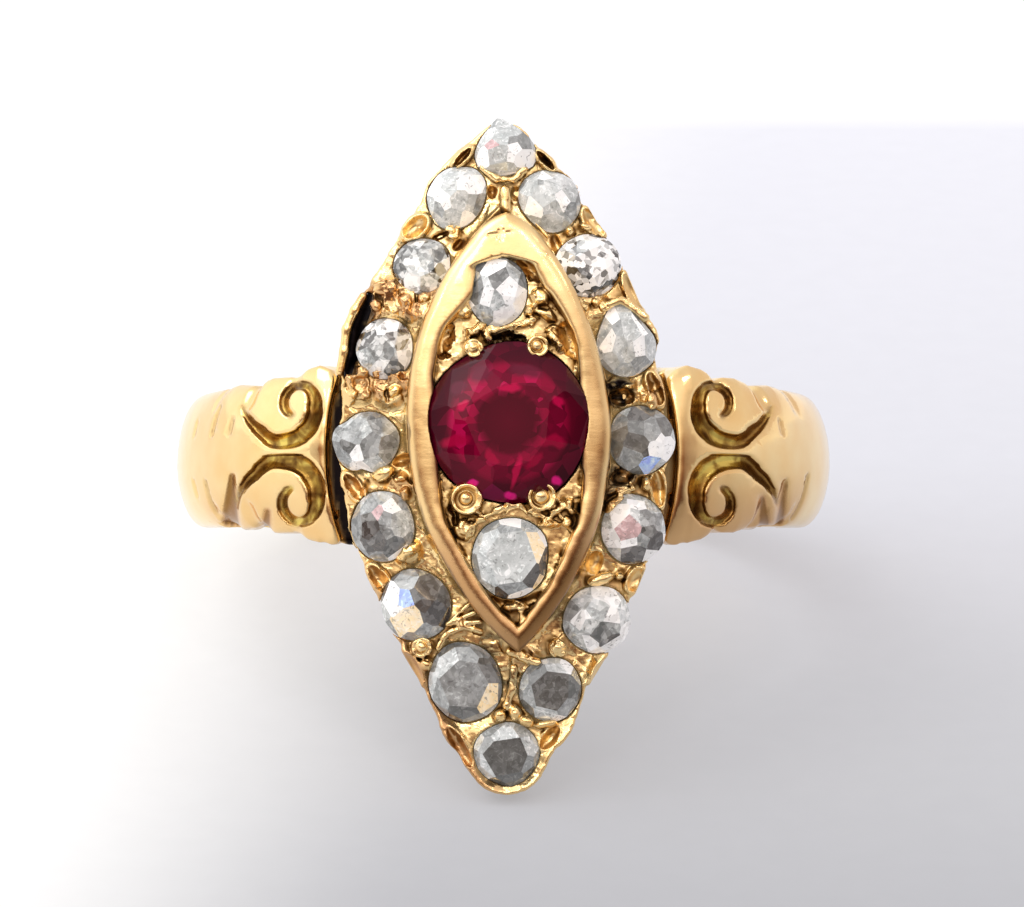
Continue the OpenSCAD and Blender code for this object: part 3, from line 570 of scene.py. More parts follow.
class Stone:
    """A cut stone: its place on the head, its outline on the girdle and its cut."""

    def __init__(self, name, x, y, w, size, point, turn, cut, tilted):
        self.name, self.x, self.y, self.w = name, x, y, w
        self.size, self.point, self.turn, self.cut = size, point, math.radians(turn), cut
        self.tilted = tilted
        self.half = min(size) / 2

    def outline(self, corners=36):
        """The worn outline, in the stone's own turned frame."""
        t = np.arange(corners) * 2 * math.pi / corners
        clock = np.degrees(t - self.turn)
        swell = 1 + 0.012 * np.sin(3 * t + self.x * 9) + 0.012 * np.sin(5 * t + self.y * 7)
        for at, amount, width in DENTS.get(self.name, []):
            off = (clock - at + 180) % 360 - 180
            swell += amount * np.exp(-(off / width) ** 2)
        x = self.size[0] / 2 * np.sin(t) * (1 - self.point * np.cos(t))
        return np.stack([x, self.size[1] / 2 * np.cos(t)], 1) * swell[:, None]

    def distance(self, x, y):
        """Distance to the outline in the head's own X and Y."""
        x, y = turned(x, y, -self.turn)
        corners = self.outline()
        far = np.full(np.broadcast(x, y).shape, 1e9)
        within = np.zeros(far.shape, bool)
        for a, b in zip(corners, np.roll(corners, -1, 0)):
            edge = b - a
            t = np.clip(((x - a[0]) * edge[0] + (y - a[1]) * edge[1]) / (edge @ edge), 0, 1)
            far = np.minimum(far, np.hypot(x - a[0] - edge[0] * t, y - a[1] - edge[1] * t))
            crosses = (a[1] > y) != (b[1] > y)
            with np.errstate(divide="ignore", invalid="ignore"):
                within ^= crosses & (x < edge[0] * (y - a[1]) / edge[1] + a[0])
        return np.where(within, -far, far)

    def matrix(self):
        """From the stone's own millimetres, on its girdle, to where it lies."""
        if self.tilted:
            z = float(crown_z(self.x, self.y, RIM_SUNK))
            tilt = (Matrix.Rotation(-math.atan2(self.y, z - CREST_Z + CROWN_ALONG_R), 4, "X")
                    @ Matrix.Rotation(math.asin(self.x / (CROWN_ACROSS_R - RIM_SUNK)), 4, "Y"))
            at = Matrix.Translation((self.x, self.y, z)) @ tilt
        else:
            hx, hy = bezel_to_head(self.x, self.y)
            z = float(crown_z(self.x, self.y + BEZEL_UP)) + self.w
            at = Matrix.Translation((hx, hy, z)) @ Matrix.Rotation(BEZEL_TURN, 4, "Z")
        return LAID @ Matrix.Rotation(HEAD_TURN, 4, "Z") @ at @ Matrix.Rotation(self.turn, 4, "Z")

    def seat(self, block, ease, deep, lean=0.9):
        """Cuts the stone's seat from a block, a little wider than the stone."""
        reach = (self.half * 1.9, self.half * 1.9, deep + 0.6)
        at, dx, dy, dw = block.window((self.x, self.y, self.w), reach)
        away = self.distance(dx, dy)
        # Gold may lean over the sloping edge of the stone
        room = np.maximum(away - ease + lean * np.maximum(dw - 0.02, 0), -dw - deep)
        block.field[at] = smooth_max(block.field[at], -room, 0.03)


def stones(rows, wide, long, level, size, tilted):
    """The stones of a table, placed over an oval by its width and length."""
    return [Stone(name, x * wide / 2, y * long / 2, level, (w * size, h * size), point, turn, cut, tilted)
            for name, x, y, w, h, point, turn, cut in rows]


rim_stones = stones(RIM, HEAD_W, HEAD_LEN, -RIM_SUNK, RIM_STONE_D, True)
inner_stones = stones(INNER, BEZEL_W, BEZEL_LEN, FLOOR_W, INNER_STONE_D, False)
ruby_stone = Stone("ruby", 0.0, RUBY_UP, FLOOR_W + GIRDLE_T, (RUBY_D, RUBY_D), 0.0, 0, ROUND, False)


def head_plate():
    """The plate round the bezel: seats, leaves, beads, prongs and chewed gold between the stones."""
    block = Block((-5.7, -10.7, -1.1), (5.7, 10.7, 0.62), 0.045)
    x, y, w = block.x, block.y, block.z
    # The plate narrows a little above its lower tip
    edge = lens(x, y, PLATE_L, PLATE_W) + 0.33 * smooth_step(-1.0, -5.0, y) * smooth_step(-8.4, -6.8, y)
    edge = edge - 0.2 * bump(y, 8.9, 0.6) - np.where(x < 0, 0.38, 0) * bump(y, 3.6, 1.6)
    for s in rim_stones:
        edge = smooth_min(edge, np.hypot(x - s.x, y - s.y) - max(s.size) / 2 + 0.02, 0.2)
    tip = rim_stones[8]
    edge = smooth_min(edge, np.hypot(x - tip.x, y - tip.y + 0.02) - max(tip.size) / 2 - 0.2, 0.2)
    edge = edge - 0.16 * bump(y, -8.6, 0.7)
    in_bezel = lens(*turned(x - BEZEL_RIGHT, y - BEZEL_UP, -BEZEL_TURN), BEZEL_LEN / 2, BEZEL_W / 2)
    chewed = block.patches(CHEWED)
    rough = block.crumple(0.5, 3)
    fine = block.crumple(0.24, 4)
    smooth_rim = np.exp(-(np.minimum(edge, 0) / 0.22) ** 2) * smooth_step(-2.5, -5.5, y)
    void = block.patches([(px - 0.1, py, 0.45, 1.0) for px, py, _ in VOID])
    level = (-0.3 + 0.06 * rough + 0.24 * smooth_rim - 0.3 * void
             + chewed * (0.26 + 0.22 * rough + 0.12 * fine) + 0.2 * smooth_step(-7.6, -8.6, y)
             + 0.18 * np.exp(-np.maximum(in_bezel, 0) / 0.08))
    wall = edge + 0.12 * np.clip(-w, 0, 1) ** 2
    block.field = smooth_max(wall, w - level, 0.14).astype(np.float32)
    for px, py, long, wide, heading in LEAVES:
        block.leaf(px, py, -0.1, long, wide, heading)
    block.details(-0.1, LUMPS, RIDGES, [], 0.05, None, 0.05)
    for px, py, radius, bead in CUPS:
        block.cup(px, py, -0.06, radius, bead)
    block.details(-0.1, [], [], PITS, 0, (0.02, 0.42), 0.05)
    ripple = (0.06 * rough + 0.06 * fine) * (0.35 + 0.65 * chewed) + 0.003 * block.noise(0.16, 5)
    block.field += ripple * np.clip((w + 0.75) / 0.3, 0, 1)
    # Nothing stands out past the rim
    block.field = smooth_max(block.field, edge - 0.07 - 0.05 * chewed, 0.08)
    for (ax, ay, ra), (bx, by, rb) in zip(VOID, VOID[1:]):
        for deep in VOID_DEPTHS:
            block.rod((ax, ay, -deep), (bx, by, -deep), (ra + rb) / 2, 0.03, cut=True)
    for (ax, ay, ra), (bx, by, rb) in zip(VOID, VOID[1:]):
        ax, bx = ax - ra - VOID_WALL_OUT, bx - rb - VOID_WALL_OUT
        for deep in VOID_WALL_DEPTHS:
            block.rod((ax, ay, -deep), (bx, by, -deep), VOID_WALL, 0.1)
    block.near = np.minimum(block.near, np.maximum(in_bezel, w - 0.5))
    for s in rim_stones:
        s.seat(block, SEAT_EASE, GIRDLE_T + s.cut["deep"] * min(s.size) + STONE_GAP)
    block.field = np.maximum(block.field, -PLATE_T - w)
    # Painted shade: black deep in the void, and dark spots between the stones
    spot_shade = block.patches(PAINTED_SHADE_SPOTS) * smooth_step(-0.6, 0.1, block.noise(0.15, 7))
    painted_shade = np.maximum(void * smooth_step(-0.6, -0.72, w), spot_shade)
    # Painted shade reddens the lower left of the plate's edge; the chewed patches get a copper tint
    tint_and_shade = smooth_step(-2.0, -5.0, y) * smooth_step(-0.5, -0.1, edge) * smooth_step(1.0, -1.5, x)
    tint_and_shade = np.maximum(tint_and_shade, chewed * smooth_step(-0.4, 0.3, block.noise(0.6, 6)))
    return block.mesh("head_plate", head_to_upright, 0.02, {"painted_shade": painted_shade, "tint_and_shade": tint_and_shade})


def bezel():
    """The raised frame round the ruby, with its sunk floor, cut beads and engraved star."""
    block = Block((-3.3, -6.8, -0.35), (3.3, 6.8, 1.5), 0.04)
    x, y, w = block.x, block.y, block.z
    swell = block.noise(1.3, 21)
    fine = block.noise(0.35, 22)
    # The upper tip is blunt and leans to the right
    bent = x - 0.2 * smooth_step(3.0, 6.5, y)
    outer = smooth_max(lens(bent, y, BEZEL_LEN / 2 + 0.25, BEZEL_W / 2 + 0.03), y - BEZEL_LEN / 2, 0.7)
    outer = outer + 0.03 * swell
    inner = lens(x, y, BEZEL_LEN / 2 - BEZEL_TIP / 2, BEZEL_W / 2 - BEZEL_RIM - 0.1)
    inner = inner + np.where(x < 0, 0.5, 0.1) * bump(y, 3.9, 0.8) + 0.3 * bump(y, 0, 1.5)
    # The upper end is a solid sheet with a ragged edge, and the ruby fills the width
    sheet = np.maximum(block.patches([(0, SHEET_Y, SHEET_R, 1.0)]), smooth_step(*SHEET_FROM, y))
    inner = inner + 0.03 * fine + 0.05 * swell + 0.7 * sheet
    body = smooth_max(outer + 0.16 * np.clip(BEZEL_RISE - w, 0, 2), w - BEZEL_RISE + 0.04 * swell, 0.55)
    rough = block.crumple(0.4, 23)
    small = block.crumple(0.2, 24)
    floor = FLOOR_W - 0.1 + 0.1 * rough + 0.06 * small - 0.25 * smooth_step(-4.8, -5.2, y)
    recess = smooth_max(inner, floor - w, 0.06)
    block.field = smooth_max(body, -recess, 0.28).astype(np.float32)
    top = FLOOR_W
    block.details(top - 0.02, BEZEL_LUMPS, BEZEL_RIDGES, BEZEL_PITS, 0.08, (0.13, 0.4), 0.06)
    inside = np.clip(-inner / 0.2, 0, 1)
    block.field += (0.08 * rough + 0.07 * small + 0.02 * fine) * inside
    block.field += 0.004 * block.noise(0.3, 25)
    for s in inner_stones:
        s.seat(block, SEAT_EASE, 3.0)
    ruby_stone.seat(block, STONE_GAP, 3.0, 0.3)
    # Beads that hold the ruby reach over its edge
    for px, py, radius, bead in BEZEL_CUPS:
        block.cup(px, py, top + 0.2, radius, bead)
    star_y, ray_top = BEZEL_LEN / 2 - BEZEL_TIP * 0.65, BEZEL_RISE + 0.01
    for heading, share in STAR:
        a = math.radians(heading)
        dx, dy = -math.sin(a) * STAR_REACH * share, math.cos(a) * STAR_REACH * share
        block.rod((-dx, star_y - dy, ray_top), (dx, star_y + dy, ray_top), 0.05, 0.02, cut=True)
    block.ring((1.24, 5.0, BEZEL_RISE - 0.1), 0.07, 0.05)
    block.blob((-3.06, 0.0, 1.0), (0.14, 0.28, 0.4), 5, 0.06, cut=True)
    # Painted shade reddens and darkens the lower end of the bezel's walls, more on the right, and a little of
    # them further up
    tint_and_shade = smooth_step(-1.5, -4.5, y) * smooth_step(-0.1, 0.2, inner) * np.where(x < 0, 1.12, 1.45)
    tint_and_shade = np.maximum(tint_and_shade, 0.3 * smooth_step(5.0, 2.5, y) * smooth_step(-0.1, 0.2, inner))
    # Painted shadow in the gap behind the ruby's upper edge
    painted_shade = 0.8 * block.patches(RUBY_SHADOW) * smooth_step(FLOOR_W + 0.1, FLOOR_W, w)
    return block.mesh("bezel", bezel_to_upright, 0.02, {"tint_and_shade": tint_and_shade, "painted_shade": painted_shade})


# The band's grid is finer at the shoulders than at the back
RING_SPAN = math.radians(166)
RING_EVEN = 0.4
# Fineness of the map in which the scrolls are looked up, and where it starts
SCROLL_STEPS, MAP_STEP, MAP_X, MAP_Y = 170, 0.03, -9.2, -0.2


def ring_angle(u):
    return math.pi + RING_SPAN * ((1 + RING_EVEN) * u - RING_EVEN * u ** 3)


def scroll_map(x, y, apart, size):
    """Distance to a carved scroll's outline and share of its depth, in one quarter of the shoulders."""
    distance = np.full(np.broadcast(x, y).shape, 9.0)
    depth = np.zeros_like(distance)
    for turn in np.linspace(SCROLL[0, 0], SCROLL[-1, 0], SCROLL_STEPS):
        arm, half = (np.interp(turn, SCROLL[:, 0], SCROLL[:, c]) * size for c in (1, 2))
        angle, half = math.radians(turn), half / 2
        away = np.hypot(x + SCROLL_OUT - arm * math.cos(angle), y - apart - arm * math.sin(angle))
        closer = away - half < distance
        distance = np.where(closer, away - half, distance)
        bowl = min(1, half / 0.2) * (1.0 - 0.35 * np.clip(away / half, 0, 1) ** 2)
        depth = np.where(closer, bowl, depth)
    return distance, depth


def band():
    """The band: scroll-carved shoulders with pillowed edges, flutes, and a plain worn back."""
    block = Block((-1, BORE_R - 0.3, -3.05), (1, 12.3, 3.05), (2 / 640, 0.055, 0.055))
    angle = ring_angle(block.x)
    from_head = np.degrees(np.minimum(angle, 2 * math.pi - angle))
    share = [np.interp(from_head, BAND[:, 0], BAND[:, c]).astype(np.float32) for c in range(1, 5)]
    half = (SHOULDER_W + (SIDE_W - SHOULDER_W) * share[0]) * (1 - share[2]) + BACK_W * share[2]
    half = half / 2 + np.where(block.z < 0, 0.38, 0.0) * smooth_step(30, 26, from_head)
    thick = (SHOULDER_T + (SIDE_T - SHOULDER_T) * share[1]) * (1 - share[2]) + BACK_T * share[2]
    low_edge = thick * share[3]
    r, y = block.y, block.z
    rise = r - BORE_R - low_edge
    qx, qy = rise / (thick - low_edge), y / half
    k0 = np.hypot(qx, qy)
    k1 = np.hypot(qx / (thick - low_edge), qy / half)
    skin = np.where(rise > 0, k0 * (k0 - 1) / np.maximum(k1, 1e-6), np.abs(y) - half)
    x, z = r * np.sin(angle), r * np.cos(angle)
    field = smooth_max(skin, BORE_R - r, 0.12)
    # Worn dents that mostly the polish shows
    field += 0.02 * block.noise(0.9, 31) + 0.006 * block.noise(0.3, 32)
    # Scrolls, looked up in one quarter of the shoulders for each half of the band
    mx, my = np.arange(MAP_X, -3.4, MAP_STEP)[:, None], np.arange(MAP_Y, 3.4, MAP_STEP)[None, :]
    maps = [scroll_map(mx, my, *row) for row in SCROLLS]
    out = np.abs(x) - np.where(x > 0, 0.2, 0.0)
    i = np.clip(((-out - MAP_X) / MAP_STEP).round().astype(int), 0, len(mx) - 1)
    j = np.clip(((np.abs(y) - MAP_Y) / MAP_STEP).round().astype(int), 0, my.size - 1)
    picked = [np.where(y > 0, maps[0][c][i, j], maps[1][c][i, j]).astype(np.float32) for c in (0, 1)]
    carved, floor = np.maximum(picked[0], np.abs(y) - half + 0.2), -SCROLL_DEPTH * picked[1]
    carved = np.where((z > 5) & (np.abs(x) < 9.1), carved, 9.0)
    groove = smooth_max(carved, floor - skin, 0.1)
    marks = {"patina": np.clip(0.5 - carved / 0.1, 0, 1).astype(np.float32)}
    # Painted shade: the lower halves are redder and darker, and the far sides of the band a little darker
    marks["tint_and_shade"] = smooth_step(0.3, -2.0, y) * np.where(x < 0, 0.45, 0.85) * smooth_step(3, 6, z)
    marks["tint_and_shade"] = np.maximum(marks["tint_and_shade"], 0.22 * smooth_step(7.2, 7.8, np.abs(x)))
    field = smooth_max(field, -groove, 0.14)
    # Soft dips between the pillows of the edges, and short cuts on the face that painted shade darkens
    cuts = np.zeros_like(field)
    for at, first, last, radius, deep, shares in NOTCHES:
        left, right = np.where(y > 0, *shares[:2]), np.where(y > 0, *shares[2:])
        here = np.where(x < 0, left, right)
        along = (np.radians(from_head - at) - np.where(x > 0, 0.03, 0)) * r + 0.16 * np.abs(y)
        beyond = np.maximum(0, np.maximum(first - np.abs(y), np.abs(y) - last))
        away = np.sqrt(along ** 2 + beyond ** 2 + (skin - radius + deep * here) ** 2) - radius
        away = away + 0.2 * (here == 0)
        field = smooth_max(field, -away, 0.1)
        if radius < 0.3:
            cuts = np.maximum(cuts, here * smooth_step(0.08, -0.04, away))
    for ax, ay, bx, by, start, end, deep in VALLEYS:
        ex, ey = bx - ax, by - ay
        t = np.clip(((x - ax) * ex + (y - ay) * ey) / (ex * ex + ey * ey), 0, 1)
        away = np.hypot(x - ax - ex * t, y - ay - ey * t) - start - (end - start) * t
        away = np.where(z > 5, away, 9.0)
        field = smooth_max(field, -smooth_max(away, -deep - skin, 0.16), 0.28)
        # Painted shade turns the valleys brown
        marks["tint_and_shade"] = np.maximum(marks["tint_and_shade"], 1.9 * smooth_step(0.14, -0.08, away))
    hx, hy = turned(x, y, -HEAD_TURN)
    gap = lens(hx + 0.06, hy, HEAD_LEN * 0.38, HEAD_W / 2 + CRESCENT_GAP)
    outside = smooth_step(BORE_R + 0.3, BORE_R + 0.6, r) * smooth_step(4.0, 5.0, z)
    # Painted shade in the gap under the head, lighter on the right, and in the short cuts
    painted_shade = smooth_step(0.03, -0.12, gap) * smooth_step(10.6, 10.0, z) * np.where(x < 0, 1.0, 0.75)
    painted_shade = np.maximum(painted_shade, 0.35 * cuts) * outside
    marks = {key: values * outside for key, values in marks.items()}
    gap = np.maximum(gap, BORE_R + SOLDER_RISE - z)
    field = smooth_max(field, -gap, 0.22)
    field = np.maximum(field, (BAND_FROM - np.radians(from_head)) * r)
    block.field = field.astype(np.float32)
    marks["painted_shade"] = np.broadcast_to(painted_shade, field.shape).astype(np.float32)
    return block.mesh("band", ring_to_upright, 0.02, marks)


def gallery():
    """The boat-shaped wall that carries the plate over the finger."""
    block = Block((-5.8, -10.2, 8.0), (5.8, 10.2, 11.6), 0.085)
    x, y, z = block.x, block.y, block.z
    half_l, half_w = HEAD_LEN / 2 - GALLERY_INSET, HEAD_W / 2 - GALLERY_INSET
    wall = np.maximum(lens(x, y, half_l, half_w),
                      -lens(x, y, half_l - GALLERY_WALL * GALLERY_TIP_WALL, half_w - GALLERY_WALL))
    ux, uy = turned(x, y, HEAD_TURN)
    boat_low = BORE_R - GALLERY_CLEAR * 3
    boat_rise = BORE_R + GALLERY_TIP - boat_low
    boat_r = ((HEAD_LEN / 2) ** 2 + boat_rise ** 2) / (2 * boat_rise)
    field = smooth_max(wall, BORE_R + GALLERY_CLEAR - np.hypot(ux, z), 0.1)
    field = smooth_max(field, np.hypot(uy, z - boat_low - boat_r) - boat_r, 0.1)
    field = np.maximum(field, z - crown_z(ux, uy, PLATE_T / 2))
    block.field = field.astype(np.float32)

    def place(p):
        px, py = turned(p[:, 0], p[:, 1], HEAD_TURN)
        return np.stack([px, py, p[:, 2]], 1)

    return block.mesh("gallery", place, 0.02)


def shader(name):
    material = bpy.data.materials.new(name)
    material.use_nodes = True
    tree = material.node_tree
    return material, tree, tree.nodes["Principled BSDF"]


def node(tree, kind, inputs=None, **settings):
    made = tree.nodes.new(kind)
    for key, value in settings.items():
        setattr(made, key, value)
    for key, value in (inputs or {}).items():
        if isinstance(value, bpy.types.NodeSocket):
            tree.links.new(value, made.inputs[key])
        else:
            made.inputs[key].default_value = value
    return made


def noise(tree, vector, scale, detail, **more):
    """Noise from 0 to 1; more holds further inputs of the node."""
    inputs = {"Vector": vector, "Scale": scale, "Detail": detail, **more}
    return node(tree, "ShaderNodeTexNoise", inputs).outputs["Fac"]


def maths(tree, operation, *values, **settings):
    made = node(tree, "ShaderNodeMath", dict(enumerate(values)), operation=operation, **settings)
    return made.outputs["Value"]


def vector_maths(tree, operation, *values, output="Vector"):
    made = node(tree, "ShaderNodeVectorMath", dict(enumerate(values)), operation=operation)
    return made.outputs[output]


def cells(tree, vector, scale):
    """One random value for each cell of a Voronoi pattern."""
    made = node(tree, "ShaderNodeTexVoronoi", {"Vector": vector, "Scale": scale})
    return node(tree, "ShaderNodeSeparateColor", {"Color": made.outputs["Color"]}).outputs["Red"]


def spread(tree, value, low, high, **settings):
    """A value mapped from the span low to high onto 0 to 1."""
    inputs = {"Value": value, "From Min": low, "From Max": high}
    return node(tree, "ShaderNodeMapRange", inputs, **settings).outputs["Result"]


def ramp(tree, factor, stops, steps=False):
    made = node(tree, "ShaderNodeValToRGB", {"Fac": factor})
    made.color_ramp.interpolation = "CONSTANT" if steps else "LINEAR"
    elements = made.color_ramp.elements
    while len(elements) < len(stops):
        elements.new(0.5)
    for element, (place, colour) in zip(elements, stops):
        element.position = place
        element.color = (*(colour if isinstance(colour, tuple) else (colour,) * 3), 1)
    return made.outputs["Color"]


def attribute(tree, name, output="Fac"):
    return node(tree, "ShaderNodeAttribute", attribute_name=name).outputs[output]


def blended(tree, factor, a, b, kind="MIX"):
    """Two colours mixed by a factor."""
    made = node(tree, "ShaderNodeMix", {"Factor": factor}, data_type="RGBA", blend_type=kind,
                clamp_result=True)
    for socket, value in ((made.inputs[6], a), (made.inputs[7], b)):
        if isinstance(value, bpy.types.NodeSocket):
            tree.links.new(value, socket)
        else:
            socket.default_value = (*value, 1)
    return made.outputs[2]


def gold(name, roughness, grit):
    """Worn yellow gold: soft polish, fine scratches, olive in the carving, oxide and painted shade in
    hollows, painted shade from the marks and a copper tint.
    """
    material, tree, bsdf = shader(name)
    space = node(tree, "ShaderNodeTexCoord").outputs["Object"]
    cloud = noise(tree, space, 900.0, 4.0)
    colour = ramp(tree, cloud, [(0.3, (0.98, 0.67, 0.29)), (0.7, (1.0, 0.76, 0.38))])
    streaks = noise(tree, space, 1500.0, 3.0, Distortion=0.6)
    olive = ramp(tree, streaks, [(0.36, (0.13, 0.06, 0.012)), (0.5, (0.34, 0.2, 0.04)),
                                 (0.64, (0.75, 0.56, 0.13))])
    # Painted shade, and a copper tint on chewed gold, redden the gold; past 1 the painted shade turns it
    # brown
    tint_and_shade = attribute(tree, "tint_and_shade")
    red = ramp(tree, tint_and_shade, [(0.0, 0.0), (1.0, 0.85)])
    colour = blended(tree, red, colour, (0.60, 0.33, 0.15))
    brown = ramp(tree, maths(tree, "SUBTRACT", tint_and_shade, 1.0), [(0.0, 0.0), (0.5, 0.8)])
    colour = blended(tree, brown, colour, (0.24, 0.11, 0.03))
    colour = blended(tree, attribute(tree, "patina"), colour, olive)
    # Oxide and painted shade in hollows: tan, then near black where deepest
    dirt_and_shade = attribute(tree, "dirt_and_shade")
    tan = ramp(tree, dirt_and_shade, [(0.34, 0.0), (0.66, 1.0)])
    colour = blended(tree, tan, colour, (0.30, 0.155, 0.04))
    black = ramp(tree, dirt_and_shade, [(0.66, 0.0), (1.0, 0.9)])
    colour = blended(tree, black, colour, (0.05, 0.026, 0.012))
    # Painted shade: near black where the marks say
    colour = blended(tree, attribute(tree, "painted_shade"), colour, (0.012, 0.009, 0.010))
    tree.links.new(colour, bsdf.inputs["Base Color"])
    bsdf.inputs["Metallic"].default_value = 1.0
    fine = noise(tree, space, 5200.0, 3.0)
    rough = node(tree, "ShaderNodeMapRange", {"Value": fine, "To Min": roughness * 0.7,
                                              "To Max": roughness * 1.4}).outputs["Result"]
    matt = maths(tree, "MULTIPLY_ADD", dirt_and_shade, 0.35, rough, use_clamp=True)
    tree.links.new(matt, bsdf.inputs["Roughness"])
    # Long fine scratches lie across the finer grain
    stretched = node(tree, "ShaderNodeMapping", {"Vector": space, "Scale": (1200.0, 9000.0, 9000.0),
                                                 "Rotation": (0.3, 0.5, 0.9)})
    height = maths(tree, "ADD", fine, noise(tree, stretched.outputs["Vector"], 1.0, 2.0))
    grain = node(tree, "ShaderNodeBump", {"Height": height, "Strength": grit, "Distance": 0.00003})
    tree.links.new(grain.outputs["Normal"], bsdf.inputs["Normal"])
    return material


def diamond():
    """Old diamond: painted grey and white facets, broken up by painted small reflections and a little cloud.
    """
    material, tree, bsdf = shader("old_diamond")
    tone = attribute(tree, "facet", "Color")
    place = attribute(tree, "place", "Vector")
    cloud = noise(tree, place, 2.6, 8.0, Roughness=0.65, Distortion=0.8)
    mist = ramp(tree, cloud, [(0.33, 0.2), (0.5, 0.5), (0.66, 0.85)])
    tone = blended(tree, 0.5, tone, mist, "OVERLAY")
    # Painted glints, and streaks of painted shade
    streaks = noise(tree, place, 4.0, 3.0, Distortion=2.2)
    glints = ramp(tree, streaks, [(0.58, 0.0), (0.64, 0.6)])
    tone = blended(tree, glints, tone, (1.0, 1.0, 1.0), "OVERLAY")
    shades = ramp(tree, streaks, [(0.33, 0.6), (0.38, 0.0)])
    tone = blended(tree, shades, tone, (0.10, 0.10, 0.10))
    # Painted small reflections break the facets up
    shard_tones = [(0.0, 0.01), (0.2, 0.12), (0.36, 0.4), (0.56, 0.8), (0.72, 1.0)]
    for scale, strength, kind in ((5.5, 0.8, "MIX"), (2.6, 1.0, "OVERLAY")):
        shards = ramp(tree, cells(tree, place, scale), shard_tones, True)
        share = maths(tree, "MULTIPLY", attribute(tree, "facet", "Alpha"), strength)
        tone = blended(tree, share, tone, shards, kind)
    tree.links.new(tone, bsdf.inputs["Base Color"])
    # Painted glow: the facet tones also glow, so the bright facets glint
    tree.links.new(tone, bsdf.inputs["Emission Color"])
    bsdf.inputs["Emission Strength"].default_value = 0.2
    bsdf.inputs["Roughness"].default_value = 0.03
    bsdf.inputs["IOR"].default_value = 1.9
    bsdf.inputs["Transmission Weight"].default_value = 0.15
    return material


def ruby():
    """Deep crimson ruby: a painted dark heart, and rings of painted bright flashes for those that its back
    facets throw.
    """
    material, tree, bsdf = shader("ruby")
    tone = attribute(tree, "facet", "Color")
    place = attribute(tree, "place", "Vector")
    level = (1.0, 1.0, 0.0)
    far = vector_maths(tree, "LENGTH", vector_maths(tree, "MULTIPLY", place, level), output="Value")
    parts = node(tree, "ShaderNodeSeparateXYZ", {"Vector": place}).outputs
    sectors = maths(tree, "MULTIPLY", maths(tree, "ARCTAN2", parts["Y"], parts["X"]), 2.7)
    polar = node(tree, "ShaderNodeCombineXYZ", {"X": sectors, "Y": maths(tree, "MULTIPLY", far, 5.5)})
    flashes = ramp(tree, cells(tree, polar.outputs["Vector"], 1.3), [
        (0.0, (0.05, 0.0004, 0.007)), (0.5, (0.16, 0.001, 0.02)), (0.8, (0.36, 0.002, 0.04)),
        (0.95, (0.60, 0.006, 0.09))])
    # Painted glow in the ring between the table's heart and the dark edge
    glow = ramp(tree, far, [
        (0.0, (0.10, 0.0008, 0.012)), (0.38, (0.075, 0.0006, 0.009)), (0.42, (0.19, 0.0016, 0.026)),
        (0.47, (0.19, 0.0014, 0.024)), (0.70, (0.15, 0.001, 0.02)), (0.77, (0.05, 0.0004, 0.007)),
        (0.95, (0.028, 0.0003, 0.005))])
    tone = blended(tree, 0.85, tone, glow)
    lively = ramp(tree, far, [
        (0.3, 0.0), (0.4, 0.3), (0.46, 0.5), (0.7, 0.45), (0.78, 0.12), (1.0, 0.08)])
    tone = blended(tree, lively, tone, flashes)
    ragged = node(tree, "ShaderNodeTexNoise", {"Vector": place, "Scale": 4.0, "Detail": 2.0}).outputs["Color"]
    wavy = vector_maths(tree, "MULTIPLY_ADD", ragged, (2 * WAVE, 2 * WAVE, 0.0), place)
    for x, y, long, wide, heading, bright in FLASHES:
        at = node(tree, "ShaderNodeMapping", {
            "Vector": wavy, "Location": (x + WAVE, y + WAVE, 0.0), "Scale": (long, wide, 9.0),
            "Rotation": (0.0, 0.0, math.radians(heading))}, vector_type="TEXTURE").outputs["Vector"]
        away = vector_maths(tree, "LENGTH", vector_maths(tree, "MULTIPLY", at, level), output="Value")
        tone = blended(tree, ramp(tree, away, [(0.55, 0.9), (1.0, 0.0)]), tone, TONES[bright])
    tree.links.new(tone, bsdf.inputs["Base Color"])
    bsdf.inputs["Roughness"].default_value = 0.07
    bsdf.inputs["IOR"].default_value = 1.4
    bsdf.inputs["Specular IOR Level"].default_value = 0.2
    return material


# How far the painted flashes' edges waver, in the ruby's radii
WAVE = 0.08
# Painted bright flashes and sheen in the ruby, in its radii: place, length, width, heading and tone
FLASHES = [
    (0.05, 0.42, 0.16, 0.07, 0, "F"), (-0.55, 0.22, 0.1, 0.06, 30, "F"),
    (0.62, 0.24, 0.1, 0.07, -40, "F"),
    (-0.66, -0.2, 0.22, 0.1, 5, "R"), (0.55, -0.27, 0.2, 0.09, -5, "R"),
    (0.08, -0.62, 0.22, 0.055, 75, "F"),
    (-0.22, -0.42, 0.14, 0.05, -60, "R"), (0.3, -0.48, 0.16, 0.06, 40, "R"),
    (-0.48, -0.76, 0.09, 0.06, 20, "M"),
    (-0.01, -0.9, 0.1, 0.06, 0, "M"), (0.56, -0.74, 0.08, 0.07, -30, "M"),
    (-0.3, 0.62, 0.2, 0.1, 25, "s"),
    (0.22, 0.62, 0.26, 0.12, -15, "s"), (-0.6, 0.45, 0.12, 0.1, 50, "s"),
]
